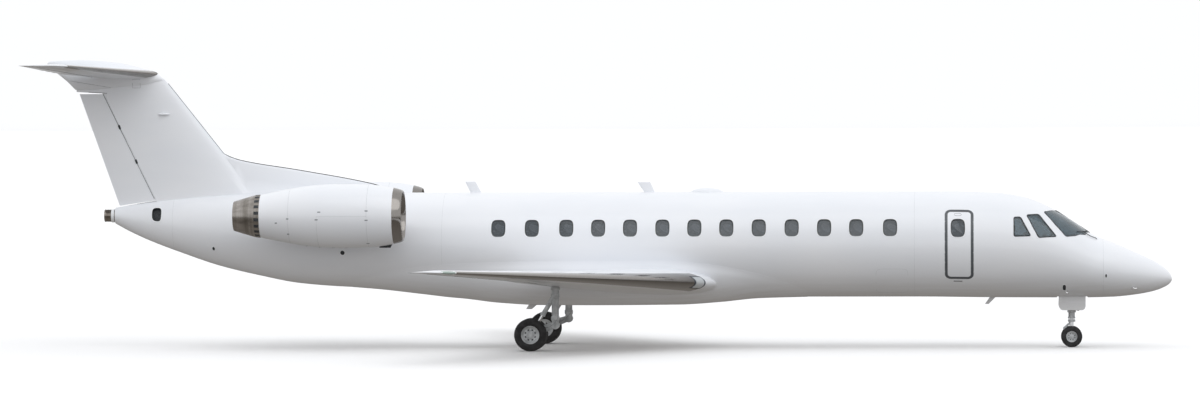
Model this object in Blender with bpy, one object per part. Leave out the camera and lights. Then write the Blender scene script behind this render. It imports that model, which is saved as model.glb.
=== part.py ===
# Regional jet with two engines on the rear fuselage and a T-tail, parked on its landing gear.
# Metres. +X is forward, +Y is left, +Z is up, and the ground is z = 0.
# Stations are distances aft of the nose tip.

import math

import bmesh
import bpy
import numpy as np
from mathutils import Matrix, Vector

# Driving dimensions of the whole aircraft
LENGTH = 26.33
SPAN = 20.04
NOSE_X = LENGTH / 2
SEAT_GAP = 0.0003
RUNNING_GAP = 0.008

# Fuselage: lines of the top, the bottom and the half width, as station and value
TUBE_RADIUS = 1.225
TUBE_Z = 2.40
WALL = 0.10
FLOOR_Z = 1.68
TOP_LINE = [(0, 1.575), (0.14, 1.81), (0.55, 2.06), (0.97, 2.25), (1.38, 2.44), (1.66, 2.535),
            (1.84, 2.62), (2.24, 2.90), (2.58, 3.11), (3.05, 3.36), (3.51, 3.51), (4.1, 3.59),
            (5.2, 3.625), (21.0, 3.625), (22.5, 3.57), (23.77, 3.44), (24.71, 3.29)]
BOTTOM_LINE = [(0, 1.575), (0.14, 1.41), (0.42, 1.30), (0.83, 1.22), (1.39, 1.165), (2.13, 1.15),
               (3.98, 1.155), (6.0, 1.175), (15.5, 1.175), (16.6, 1.21), (17.5, 1.30), (18.5, 1.39),
               (19.41, 1.43), (20.36, 1.51), (21.3, 1.69), (22.25, 1.92), (23.19, 2.24),
               (23.9, 2.51), (24.38, 2.73), (24.71, 2.91)]
HALF_WIDTH = [(0, 0), (0.14, 0.225), (0.42, 0.38), (0.83, 0.57), (1.39, 0.77), (2.13, 0.95),
              (2.8, 1.06), (3.5, 1.14), (4.2, 1.19), (5.2, 1.225), (17.0, 1.225), (19.4, 1.16),
              (20.3, 1.07), (21.3, 0.91), (22.25, 0.73), (23.2, 0.53), (23.9, 0.38), (24.4, 0.27),
              (24.71, 0.20)]
RADOME_END = 1.60
CABIN_START = 5.95
CABIN_END = 16.9
TAIL_CONE_START = 23.3
TAIL_CONE_END = 24.71
FUSELAGE_SIDES = 32
SHELL_STATIONS = [RADOME_END, 1.84, 2.05, 2.35, 2.7, 3.1, 3.5, 3.9, 4.6, CABIN_START]
GLASS_THICKNESS = 0.03

# Wing, by distance out from the centreline
WING_ROOT_Y = 0.75
WING_KINK_Y = 4.0
WING_TIP_Y = 9.66
LEADING_SWEEP = 0.601
LEADING_AT_CENTRE = 9.918
TRAILING_LINE = [(0, 15.0), (WING_KINK_Y, 15.26), (SPAN / 2, 16.72)]
WING_Z_AT_CENTRE = 1.463
WING_RISE = 0.0573
LEADING_STRIP = 0.085
INNER_FLAP_FRONT = 0.80
FLAP_FRONT = 0.72
AILERON_HINGE = 0.745

# Fin, by height
FIN_KNEE = (22.14, 4.54)
FIN_LEADING_SLOPE = 0.7947
FIN_TOP_Z = 6.27
RUDDER_BOTTOM = (23.77, 3.44)
RUDDER_HINGE_SLOPE = 0.4884
RUDDER_TRAILING = (24.61, 3.31)
RUDDER_TRAILING_SLOPE = 0.3582
RUDDER_TOP_Z = 6.00
RUDDER_FOOT_GAP = 0.025

# Tailplane
TAIL_SPAN = 7.55
TAIL_Z = 6.42
TAIL_RISE = 0.046
ELEVATOR_HINGE = 0.66
ELEVATOR_IN_Y = 0.28
ELEVATOR_OUT_Y = 3.42

# Engines
ENGINE_Y = 2.20
ENGINE_Z = 3.12
FAN_STATION = 18.80
FAN_RADIUS = 0.489
ENGINE_SIDES = 24

# Landing gear
NOSE_GEAR_STATION = 2.32
MAIN_GEAR_STATION = 14.75
MAIN_GEAR_Y = 2.05
TRAILING_ARM = 0.56
WHEEL_SIDES = 16
NOSE_TYRE = dict(radius=0.25, width=0.165, rim=0.125, spacing=0.145, axle=0.030)
MAIN_TYRE = dict(radius=0.385, width=0.235, rim=0.205, spacing=0.190, axle=0.050)

WHITE = ((0.86, 0.88, 0.90), 0.28, 0.0)
GREY = ((0.30, 0.31, 0.32), 0.45, 0.0)
POLISHED = ((0.78, 0.78, 0.80), 0.18, 1.0)
BARE_METAL = ((0.42, 0.38, 0.34), 0.38, 1.0)
GEAR_METAL = ((0.62, 0.63, 0.65), 0.40, 0.6)
RUBBER = ((0.03, 0.03, 0.03), 0.80, 0.0)
GLASS = ((0.10, 0.13, 0.17), 0.08, 0.0)
CLOTH = ((0.08, 0.09, 0.12), 0.85, 0.0)

for thing in list(bpy.data.objects):
    bpy.data.objects.remove(thing, do_unlink=True)


def smooth_line(points, by_root=False):
    """A curve through (place, value) points that never overshoots them."""
    places = np.array([math.sqrt(p) if by_root else p for p, _ in points], float)
    values = np.array([v for _, v in points], float)
    slopes = np.diff(values) / np.diff(places)
    tangents = np.zeros_like(values)
    tangents[0], tangents[-1] = slopes[0], slopes[-1]
    for i in range(1, len(values) - 1):
        if slopes[i - 1] * slopes[i] > 0:
            tangents[i] = 2 / (1 / slopes[i - 1] + 1 / slopes[i])

    def value(place):
        at = math.sqrt(max(place, 0)) if by_root else place
        at = min(max(at, places[0]), places[-1])
        i = min(int(np.searchsorted(places, at, side="right")) - 1, len(places) - 2)
        step = places[i + 1] - places[i]
        t = (at - places[i]) / step
        return float(values[i] * (1 + 2 * t) * (1 - t) ** 2
                     + tangents[i] * step * t * (1 - t) ** 2
                     + values[i + 1] * t * t * (3 - 2 * t)
                     + tangents[i + 1] * step * t * t * (t - 1))
    return value


fuselage_top = smooth_line(TOP_LINE, by_root=True)
fuselage_bottom = smooth_line(BOTTOM_LINE, by_root=True)
fuselage_half = smooth_line(HALF_WIDTH, by_root=True)


def x_at(station):
    return NOSE_X - station


def skin(station, turn, inset=0.0):
    """A point of the fuselage skin. turn is 0 at the top and grows towards the left side."""
    top, bottom = fuselage_top(station), fuselage_bottom(station)
    half = fuselage_half(station) - inset
    rise = (top - bottom) / 2 - inset
    return Vector((x_at(station), half * math.sin(turn), (top + bottom) / 2 + rise * math.cos(turn)))


def turn_at_height(station, height):
    """The turn at which the skin is at a height."""
    top, bottom = fuselage_top(station), fuselage_bottom(station)
    return math.acos(max(-1, min(1, (height - (top + bottom) / 2) / ((top - bottom) / 2))))


def turn_at_width(station, width):
    return math.asin(width / fuselage_half(station))


def skin_normal(station, turn):
    step = 0.01
    along = skin(station + step, turn) - skin(station - step, turn)
    around = skin(station, turn + step) - skin(station, turn - step)
    normal = along.cross(around).normalized()
    outward = skin(station, turn) - Vector((x_at(station), 0, TUBE_Z))
    return normal if normal.dot(outward) > 0 else -normal


def material(name, finish):
    colour, roughness, metallic = finish
    made = bpy.data.materials.new(name)
    made.use_nodes = True
    shader = made.node_tree.nodes["Principled BSDF"]
    shader.inputs["Base Color"].default_value = (*colour, 1)
    shader.inputs["Roughness"].default_value = roughness
    shader.inputs["Metallic"].default_value = metallic
    return made


MERGE_DISTANCE = 0.00002
FLAT_ANGLE = math.radians(0.01)


def clean(mesh):
    bmesh.ops.remove_doubles(mesh, verts=mesh.verts, dist=MERGE_DISTANCE)
    bmesh.ops.dissolve_degenerate(mesh, edges=mesh.edges, dist=MERGE_DISTANCE)


def to_object(name, mesh, finish=None):
    """Turns a bmesh into an object with its own material."""
    bmesh.ops.recalc_face_normals(mesh, faces=mesh.faces)
    data = bpy.data.meshes.new(name)
    mesh.to_mesh(data)
    mesh.free()
    made = bpy.data.objects.new(name, data)
    bpy.context.scene.collection.objects.link(made)
    if finish:
        data.materials.append(material(name, finish))
    return made


def loft(name, rings, finish=None, closed=False):
    """A skin of triangles over rings of points. A ring of one point is a pole.

    The second half of a ring is split the other way, so a symmetric skin has symmetric faces.
    """
    mesh = bmesh.new()
    rows = [[mesh.verts.new(point) for point in ring] for ring in rings]
    pairs = list(zip(rows, rows[1:]))
    if closed:
        pairs.append((rows[-1], rows[0]))
    for first, second in pairs:
        count = max(len(first), len(second))
        for i in range(count):
            j = (i + 1) % count
            if len(first) == 1:
                mesh.faces.new((first[0], second[j], second[i]))
            elif len(second) == 1:
                mesh.faces.new((first[i], first[j], second[0]))
            elif i < (count - 1) / 2:
                mesh.faces.new((first[i], first[j], second[j]))
                mesh.faces.new((first[i], second[j], second[i]))
            else:
                mesh.faces.new((first[i], first[j], second[i]))
                mesh.faces.new((first[j], second[j], second[i]))
    if not closed:
        for end in (rows[0], rows[-1]):
            if len(end) > 2:
                mesh.faces.new(end)
    clean(mesh)
    return to_object(name, mesh, finish)


def turned(name, profile, centre, axis, sides, finish=None, closed=False, start=0.0):
    """A profile of (distance along, radius) turned about an axis through centre."""
    along = Vector(axis).normalized()
    across = along.orthogonal().normalized() if abs(along.z) > 0.9 else Vector((0, 0, 1))
    across = (across - along * across.dot(along)).normalized()
    third = along.cross(across)
    rings = []
    for distance, radius in profile:
        middle = Vector(centre) + along * distance
        if radius == 0:
            rings.append([middle])
            continue
        rings.append([middle + radius * (math.cos(a) * across + math.sin(a) * third)
                      for a in (start + 2 * math.pi * i / sides for i in range(sides))])
    return loft(name, rings, finish, closed)


def rod(name, first, second, radius, sides=12, finish=None):
    """A plain round bar between two points."""
    first, second = Vector(first), Vector(second)
    profile = [(0, 0), (0, radius), ((second - first).length, radius), ((second - first).length, 0)]
    return turned(name, profile, first, second - first, sides, finish)


def slab(name, outline, low, high, plane="XZ", finish=None):
    """A flat outline given thickness. XZ outlines run along Y, YZ along X and XY along Z."""
    def place(a, b, c):
        return {"XZ": (a, c, b), "YZ": (c, a, b), "XY": (a, b, c)}[plane]
    return loft(name, [[place(a, b, level) for a, b in outline] for level in (low, high)], finish)


def block(name, low, high, finish=None):
    (x0, y0, z0), (x1, y1, z1) = low, high
    return slab(name, [(x0, y0), (x1, y0), (x1, y1), (x0, y1)], z0, z1, "XY", finish)


def copy_of(piece):
    mesh = bmesh.new()
    mesh.from_mesh(piece.data)
    return mesh


def bake(target):
    """Applies an object's modifiers to its mesh and joins the flat faces that they split."""
    graph = bpy.context.evaluated_depsgraph_get()
    graph.update()
    target_mesh = bpy.data.meshes.new_from_object(target.evaluated_get(graph))
    target.modifiers.clear()
    target.data = target_mesh
    mesh = copy_of(target)
    clean(mesh)
    bmesh.ops.dissolve_limit(mesh, angle_limit=FLAT_ANGLE, verts=mesh.verts, edges=mesh.edges)
    mesh.to_mesh(target_mesh)
    mesh.free()


def triangulate(piece):
    mesh = copy_of(piece)
    bmesh.ops.triangulate(mesh, faces=mesh.faces)
    mesh.to_mesh(piece.data)
    mesh.free()


def combine(target, tools, operation="DIFFERENCE"):
    """Cuts, joins or intersects target with tools one by one, which are used up.

    Both are triangulated first, because the exact solver loses faces that aren't quite flat.
    """
    for tool in tools:
        triangulate(target)
        triangulate(tool)
        step = target.modifiers.new("combine", "BOOLEAN")
        step.operation = operation
        step.solver = "EXACT"
        step.object = tool
        bake(target)
        bpy.data.objects.remove(tool, do_unlink=True)
    return target


def grown(source, amount):
    """A copy of an object whose faces stand out by amount, as a cutter that leaves that gap."""
    mesh = copy_of(source)
    mesh.normal_update()
    moves = [(v, v.normal * v.calc_shell_factor() * amount) for v in mesh.verts]
    for vertex, move in moves:
        vertex.co += move
    return to_object("grown", mesh)


def mirrored(source, name):
    """The right-hand copy of a left-hand piece."""
    mesh = copy_of(source)
    bmesh.ops.transform(mesh, matrix=Matrix.Scale(-1, 4, (0, 1, 0)), verts=mesh.verts)
    bmesh.ops.reverse_faces(mesh, faces=mesh.faces)
    made = to_object(name, mesh)
    shared = source.data.materials[0]
    copy = shared.copy()
    copy.name = name
    made.data.materials.append(copy)
    return made


def hang_on(piece, point):
    """Moves a piece's origin to a point on its joint's axis."""
    point = Vector(point)
    piece.data.transform(Matrix.Translation(-point))
    piece.location = point


def tube(name, stations, finish=None, inset=0.0, floor=None):
    """A length of fuselage. With a floor, it ends flat there."""
    rings = []
    for station in stations:
        if floor is None:
            turns = [2 * math.pi * i / FUSELAGE_SIDES for i in range(FUSELAGE_SIDES)]
        else:
            top, bottom = fuselage_top(station) - inset, fuselage_bottom(station) + inset
            widest = math.acos((floor - (top + bottom) / 2) / ((top - bottom) / 2))
            steps = FUSELAGE_SIDES - 10
            turns = [widest * (2 * i / steps - 1) for i in range(steps + 1)]
        ring = [skin(station, turn, inset) for turn in turns]
        rings.append([ring[0]] if station == 0 else ring)
    return loft(name, rings, finish)


# Fuselage

def sector(name, stations, turns, depth_out, depth_in, finish=None):
    """A panel of the fuselage wall between two turns, from depth_out to depth_in below the skin."""
    steps = 8
    angles = [turns[0] + (turns[1] - turns[0]) * i / (steps - 1) for i in range(steps)]
    rings = [[skin(s, a, depth_out) for a in angles]
             + [skin(s, a, depth_in) for a in reversed(angles)] for s in stations]
    return loft(name, rings, finish)


class Door:
    """A panel cut out of the fuselage wall, with its frame opening."""

    def __init__(self, front, back, low, high, side, thickness):
        self.front, self.back, self.side, self.thickness = front, back, side, thickness
        middle = (front + back) / 2
        self.middle = middle
        self.turns = (side * turn_at_height(middle, high), side * turn_at_height(middle, low))

    def solid(self, name, finish=None, extra=0.0, out=0.0, deep=0.0):
        spread = extra / TUBE_RADIUS * self.side
        stations = [self.front - extra, self.middle, self.back + extra]
        turns = (self.turns[0] - spread, self.turns[1] + spread)
        return sector(name, stations, turns, -out, self.thickness + deep, finish)


AIRSTAIR = Door(front=4.50, back=5.25, low=1.63, high=3.31, side=1, thickness=WALL)
SERVICE = Door(front=4.60, back=5.24, low=1.62, high=3.20, side=-1, thickness=WALL)
BAGGAGE = Door(front=17.05, back=18.05, low=2.12, high=2.95, side=1, thickness=0.06)
AIRSTAIR_SWING = math.radians(135)


def pane_outline(corners, rounding):
    """A closed outline of (station, turn) points with its corners rounded."""
    points = []
    count = len(corners)
    for i, (station, turn, rounded) in enumerate(corners):
        here = np.array((station, turn))
        before = np.array(corners[i - 1][:2]) - here
        after = np.array(corners[(i + 1) % count][:2]) - here
        if not rounded:
            points.append(here)
            continue
        first = here + before * min(0.45, rounding / np.linalg.norm(before))
        last = here + after * min(0.45, rounding / np.linalg.norm(after))
        for t in (0.0, 0.5, 1.0):
            points.append((1 - t) ** 2 * first + 2 * t * (1 - t) * here + t * t * last)
    return points


def pane_corners():
    """The left cockpit panes, whose long edges look straight from the side.

    Heights and widths are on the skin. The points that aren't corners keep an edge straight.
    """
    def high(station, height, corner=True):
        return (station, turn_at_height(station, height), corner)

    def wide(station, width):
        return (station, turn_at_width(station, width), True)
    aft = [high(3.66, 3.035), high(3.51, 3.04), high(3.392, 2.822, False), high(3.274, 2.604),
           high(3.66, 2.597), high(3.66, 2.816, False)]
    side = [high(3.367, 3.083), high(3.09, 3.095), high(2.885, 2.84, False), high(2.68, 2.584),
            high(3.09, 2.564), high(3.229, 2.824, False)]
    shield = [high(2.96, 3.14), wide(2.66, 0.05), wide(1.90, 0.05), high(2.02, 2.62, False),
              high(2.26, 2.60, False), high(2.456, 2.584), high(2.708, 2.862, False)]
    return {"cockpit_window_aft": aft, "cockpit_window_side": side, "windshield": shield}


def pane_prism(corners, side, shrink=0.0):
    """A prism through the wall with a pane's outline, square to the skin at its middle."""
    outline = pane_outline(corners, 0.045)
    middle = sum(outline) / len(outline)
    direction = skin_normal(float(middle[0]), float(middle[1]))
    outer, inner = [], []
    for point in outline:
        reach = point - middle
        point = middle + reach * (1 - shrink / np.linalg.norm(reach))
        place = skin(float(point[0]), float(point[1]))
        outer.append(place + direction * 0.4)
        inner.append(place - direction * 0.26)
    if side < 0:
        outer = [Vector((p.x, -p.y, p.z)) for p in outer]
        inner = [Vector((p.x, -p.y, p.z)) for p in inner]
    return loft("cut", [outer, inner])


def glass_band():
    """A ring of glass under the skin that the panes are cut from."""
    stations = [s for s in SHELL_STATIONS if s < 4]
    band = tube("band", stations)
    hollow = tube("cut", [stations[0] - 0.01] + stations[1:-1] + [stations[-1] + 0.01],
                  inset=GLASS_THICKNESS)
    return combine(band, [hollow])


def fuselage():
    tube("radome", [0, 0.02, 0.08, 0.2, 0.42, 0.75, 1.15, RADOME_END - SEAT_GAP], WHITE)
    shell = tube("forward_fuselage", SHELL_STATIONS, WHITE)
    cockpit = tube("cut", [1.86, 2.1, 2.4, 2.8, 3.3, 3.95], inset=WALL, floor=FLOOR_Z)
    entrance = tube("cut", [4.0, 4.6, CABIN_START + 0.05], inset=WALL, floor=FLOOR_Z)
    passage = block("cut", (x_at(4.2), -0.28, FLOOR_Z + 0.02), (x_at(3.8), 0.28, 3.42))
    bay = block("cut", (x_at(2.66), -NOSE_BAY_HALF, 0.9), (x_at(1.95), NOSE_BAY_HALF, NOSE_BAY_TOP))
    combine(shell, [cockpit, entrance])
    combine(shell, [passage, bay])
    combine(shell, [AIRSTAIR.solid("cut", extra=RUNNING_GAP, out=0.1, deep=0.15),
                    SERVICE.solid("cut", extra=SEAT_GAP, out=0.1, deep=0.15)])
    band = glass_band()
    for name, corners in pane_corners().items():
        combine(shell, [pane_prism(corners, side) for side in (1, -1)])
        pane = to_object(f"{name}_left", copy_of(band), GLASS)
        combine(pane, [pane_prism(corners, 1, 2 * SEAT_GAP)], "INTERSECT")
        mirrored(pane, f"{name}_right")
    bpy.data.objects.remove(band, do_unlink=True)
    tube("cabin_fuselage", [CABIN_START + SEAT_GAP, 9.6, 13.2, 15.5, 16.2, CABIN_END - SEAT_GAP],
         WHITE)
    rear = tube("rear_fuselage", [CABIN_END, 17.5, 18.1, 18.8, 19.4, 20.3, 21.2, 22.1, 22.9,
                                  TAIL_CONE_START - SEAT_GAP], WHITE)
    combine(rear, [BAGGAGE.solid("cut", extra=SEAT_GAP, out=0.1, deep=0.004)])
    BAGGAGE.solid("baggage_door", WHITE)
    SERVICE.solid("service_door", WHITE)
    airstair_door()
    tail_cone = tube("tail_cone", [TAIL_CONE_START, 23.7, 24.1, 24.45, TAIL_CONE_END], WHITE)
    pipe_z, pipe_radius, pipe_start, pipe_end = 3.10, 0.148, 24.42, 24.97
    bore = rod("cut", (x_at(pipe_start), 0, pipe_z), (x_at(25.2), 0, pipe_z),
               pipe_radius + SEAT_GAP, 24)
    combine(tail_cone, [bore])
    length = pipe_end - pipe_start - SEAT_GAP
    profile = [(0, 0), (0, pipe_radius), (length, pipe_radius), (length, pipe_radius - 0.012),
               (0.1, pipe_radius - 0.012), (0.1, 0)]
    turned("apu_exhaust", profile, (x_at(pipe_start + SEAT_GAP), 0, pipe_z), (-1, 0, 0), 24,
           BARE_METAL)


def airstair_door():
    """The entrance door. It hinges on its lower edge and carries its steps on the inside."""
    door = AIRSTAIR.solid("airstair_door", WHITE)
    low_turn = AIRSTAIR.turns[1]
    tread_x = (x_at(AIRSTAIR.back - 0.09), x_at(AIRSTAIR.front + 0.09))
    steps = []
    for i in range(5):
        turn = low_turn + (AIRSTAIR.turns[0] - low_turn) * (0.13 + 0.175 * i)
        foot = skin(AIRSTAIR.middle, turn, WALL - 0.02)
        reach = 0.20
        slope = Vector((0, -math.sin(AIRSTAIR_SWING), -math.cos(AIRSTAIR_SWING)))
        across = Vector((0, slope.z, -slope.y)) * 0.015
        corners = [foot - across, foot + across, foot + slope * reach + across,
                   foot + slope * reach - across]
        steps.append(slab("tread", [(p.y, p.z) for p in corners], tread_x[0], tread_x[1], "YZ"))
    combine(door, steps, "UNION")
    hinge = skin(AIRSTAIR.middle, low_turn)
    half_pin = Vector(((AIRSTAIR.back - AIRSTAIR.front) / 2 + 0.03, 0, 0))
    pin_through(door, bpy.data.objects["forward_fuselage"], hinge - half_pin, hinge + half_pin, 0.010)
    hang_on(door, hinge)


# Belly fairing that carries the wing

FAIRING_BULGE = [(8.45, 0.006), (9.56, 0.028), (10.49, 0.10), (11.43, 0.145), (13.3, 0.155),
                 (14.7, 0.15), (15.65, 0.11), (16.6, 0.05), (17.5, 0.04), (18.5, 0.02), (19.1, 0.006)]
FAIRING_EDGE = [(8.45, 1.33), (9.22, 1.635), (9.91, 1.82), (10.75, 1.97), (11.79, 2.05), (13.38, 2.045),
                (15.15, 2.03), (16.79, 1.97), (18.2, 1.78), (19.1, 1.52)]


def fairing_blank(name, finish=None, extra=0.0):
    bulge_at, edge_at = smooth_line(FAIRING_BULGE), smooth_line(FAIRING_EDGE)
    steps = 8
    rings = []
    for station in (8.45, 8.9, 9.5, 10.3, 11.2, 13.2, 14.5, 15.4, 16.3, 17.4, 18.3, 19.1):
        edge_turn = turn_at_height(station, edge_at(station))
        bulge = bulge_at(station)
        ring = []
        for i in range(-steps, steps + 1):
            share = abs(i) / steps
            swell = bulge * (1 - share ** 2) + 0.85 * bulge * math.sin(math.pi * share)
            turn = math.pi + (i / steps) * (math.pi - edge_turn)
            ring.append(skin(station, turn, -(swell + 0.006 + extra)))
        rings.append(ring)
    return loft(name, rings, finish)


def fuselage_cutter():
    """The whole fuselage as one body, a seat gap larger, for what is fitted to it."""
    stations = [4.0, 5.95, 9.6, 13.2, 15.5, 16.2, 16.9, 17.5, 18.1, 18.8, 19.4, 20.3, 21.2, 22.1,
                22.9, 23.3, 23.7, 24.1, 24.45, 24.71]
    return tube("cut", stations, inset=-SEAT_GAP)


# Wings and tail surfaces

def half_thickness(fraction, ratio):
    """Half the thickness of a closed aerofoil, as a share of its chord."""
    f = fraction
    return 5 * ratio * (0.2969 * math.sqrt(f) - 0.1260 * f - 0.3516 * f ** 2
                        + 0.2843 * f ** 3 - 0.1036 * f ** 4) + 0.0012 * f


def wing_trailing(y):
    """The trailing edge is straight on either side of its kink."""
    return float(np.interp(y, *zip(*TRAILING_LINE)))


def wing_leading(y):
    tip_curve = max(0.0, y - 9.75)
    return LEADING_AT_CENTRE + LEADING_SWEEP * y + 3.2 * tip_curve ** 2


def wing_chord(y):
    return wing_trailing(y) - wing_leading(y)


def wing_point(y, fraction, side):
    """A point of the left wing. side is 1 on the upper skin, -1 on the lower, 0 between them."""
    start, chord = wing_leading(y), wing_chord(y)
    ratio = 0.135 - 0.030 * y / (SPAN / 2)
    ratio *= math.sqrt(max(0.04, 1 - max(0.0, (y - 9.75) / 0.28) ** 2))
    camber = 0.045 * fraction * (1 - fraction)
    lift = chord * (camber + side * half_thickness(fraction, ratio))
    return Vector((x_at(start + chord * fraction), y, WING_Z_AT_CENTRE + WING_RISE * y + lift))


def tail_leading(y):
    tip_curve = max(0.0, y - 3.50)
    return 23.68 + 0.445 * y + 2.6 * tip_curve ** 2


def tail_point(y, fraction, side):
    start = tail_leading(abs(y))
    chord = 25.93 + 0.106 * abs(y) - start
    ratio = 0.105 - 0.02 * abs(y) / (TAIL_SPAN / 2)
    ratio *= math.sqrt(max(0.04, 1 - max(0.0, (abs(y) - 3.50) / 0.28) ** 2))
    lift = chord * side * half_thickness(fraction, ratio)
    return Vector((x_at(start + chord * fraction), y, TAIL_Z + TAIL_RISE * abs(y) + lift))


def fin_point(z, fraction, side):
    start = FIN_KNEE[0] + (z - FIN_KNEE[1]) * FIN_LEADING_SLOPE
    end = RUDDER_TRAILING[0] + (z - RUDDER_TRAILING[1]) * RUDDER_TRAILING_SLOPE
    chord = end - start
    width = chord * side * half_thickness(fraction, 0.108)
    return Vector((x_at(start + chord * fraction), width, z))


def rudder_hinge_fraction(z):
    start = FIN_KNEE[0] + (z - FIN_KNEE[1]) * FIN_LEADING_SLOPE
    end = RUDDER_TRAILING[0] + (z - RUDDER_TRAILING[1]) * RUDDER_TRAILING_SLOPE
    hinge = RUDDER_BOTTOM[0] + (z - RUDDER_BOTTOM[1]) * RUDDER_HINGE_SLOPE
    return (hinge - start) / (end - start)


REAR_WALL_POINTS = 5
WHOLE_SKIN = (0.55, 0.38, 0.22, 0.10, 0.03, 0)
STRIP_SKIN = (0.05, 0.02, 0.005, 0)


def section(point, at, front, rear, hinge=None, fractions=WHOLE_SKIN):
    """One closed section of a surface from its front to its rear fraction.

    With a hinge, the rear wall is a hollow round the nose of the surface that hinges there.
    Points ahead of the front fraction fall together on it and are merged by the loft.
    """
    arc = []
    if hinge is not None:
        middle = (point(at, hinge, 1) + point(at, hinge, -1)) / 2
        outward = point(at, hinge, 1) - middle
        radius = outward.length
        hollow = radius + RUNNING_GAP
        chord = abs(point(at, 1, 0).x - point(at, 0, 0).x)
        rear = hinge - math.sqrt(hollow ** 2 - radius ** 2) / chord
        lip = math.asin(radius / hollow)
        for i in range(1, REAR_WALL_POINTS + 1):
            angle = -lip + 2 * lip * i / (REAR_WALL_POINTS + 1)
            forward = Vector((1, 0, 0))
            arc.append(middle + hollow * (forward * math.cos(angle)
                                          + outward.normalized() * math.sin(angle)))
    else:
        low, high = point(at, rear, -1), point(at, rear, 1)
        arc = [low.lerp(high, i / (REAR_WALL_POINTS + 1)) for i in range(1, REAR_WALL_POINTS + 1)]
    places = [rear] + [max(f, front) for f in fractions]
    upper = [point(at, f, 1) for f in places]
    lower = [point(at, f, -1) for f in reversed(places)]
    return upper + lower + arc


def nose_section(point, at, hinge, skin_points=4, nose_points=7):
    """One closed section of a hinged surface, round at its nose about the hinge."""
    upper_hinge, lower_hinge = point(at, hinge, 1), point(at, hinge, -1)
    middle = (upper_hinge + lower_hinge) / 2
    outward = upper_hinge - middle
    radius = outward.length
    ring = []
    for i in range(nose_points):
        angle = math.pi / 2 - math.pi * i / (nose_points - 1)
        ring.append(middle + radius * (Vector((1, 0, 0)) * math.cos(angle)
                                       + outward.normalized() * math.sin(angle)))
    fractions = [hinge + (1 - hinge) * i / skin_points for i in range(1, skin_points + 1)]
    ring += [point(at, f, -1) for f in fractions]
    ring += [point(at, f, 1) for f in reversed(fractions)]
    return ring


def hinge_point(point, at, hinge):
    return (point(at, hinge, 1) + point(at, hinge, -1)) / 2


def pin_through(moving, fixed, first, last, radius):
    """Joins a pin to the moving piece and bores its hole, which clears it as it turns."""
    sides = 12
    first, last = Vector(first), Vector(last)
    bore = (radius + SEAT_GAP) / math.cos(math.pi / sides)
    over = (last - first).normalized() * SEAT_GAP
    combine(fixed, [rod("cut", first - over, last + over, bore, sides)])
    combine(moving, [rod("pin", first, last, radius, sides)], "UNION")


def end_pin(moving, fixed, hinge):
    """The pin at the outer end of a control surface, on its hinge line."""
    along = (hinge[1] - hinge[0]).normalized()
    pin_through(moving, fixed, hinge[1] - along * 0.03, hinge[1] + along * 0.05, 0.010)


AILERON_IN_Y = 7.16
AILERON_OUT_Y = 9.60
FLAP_JOINT_Y = WING_KINK_Y
FLAP_ROOT_Y = 1.40
SPOILER = dict(inner=4.30, outer=6.60, front=0.585, back=0.70, depth=0.028)


def spoiler_solid(name, finish=None, extra=0.0, above=0.0):
    """The lift spoiler: a strip of the upper skin just ahead of the outboard flap.

    As a cutter it leaves extra all round, but only a seat gap along the hinge at the front.
    """
    rings = []
    for y in (SPOILER["inner"] - extra, SPOILER["outer"] + extra):
        front = SPOILER["front"] - (2 * SEAT_GAP if extra else 0) / wing_chord(y)
        back = SPOILER["back"] + extra / wing_chord(y)
        fractions = [front + (back - front) * i / 3 for i in range(4)]
        top = [wing_point(y, f, 1) for f in fractions]
        up, down = Vector((0, 0, above)), Vector((0, 0, SPOILER["depth"] + extra))
        rings.append([p + up for p in top] + [p - down for p in reversed(top)])
    return loft(name, rings, finish)


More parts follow.
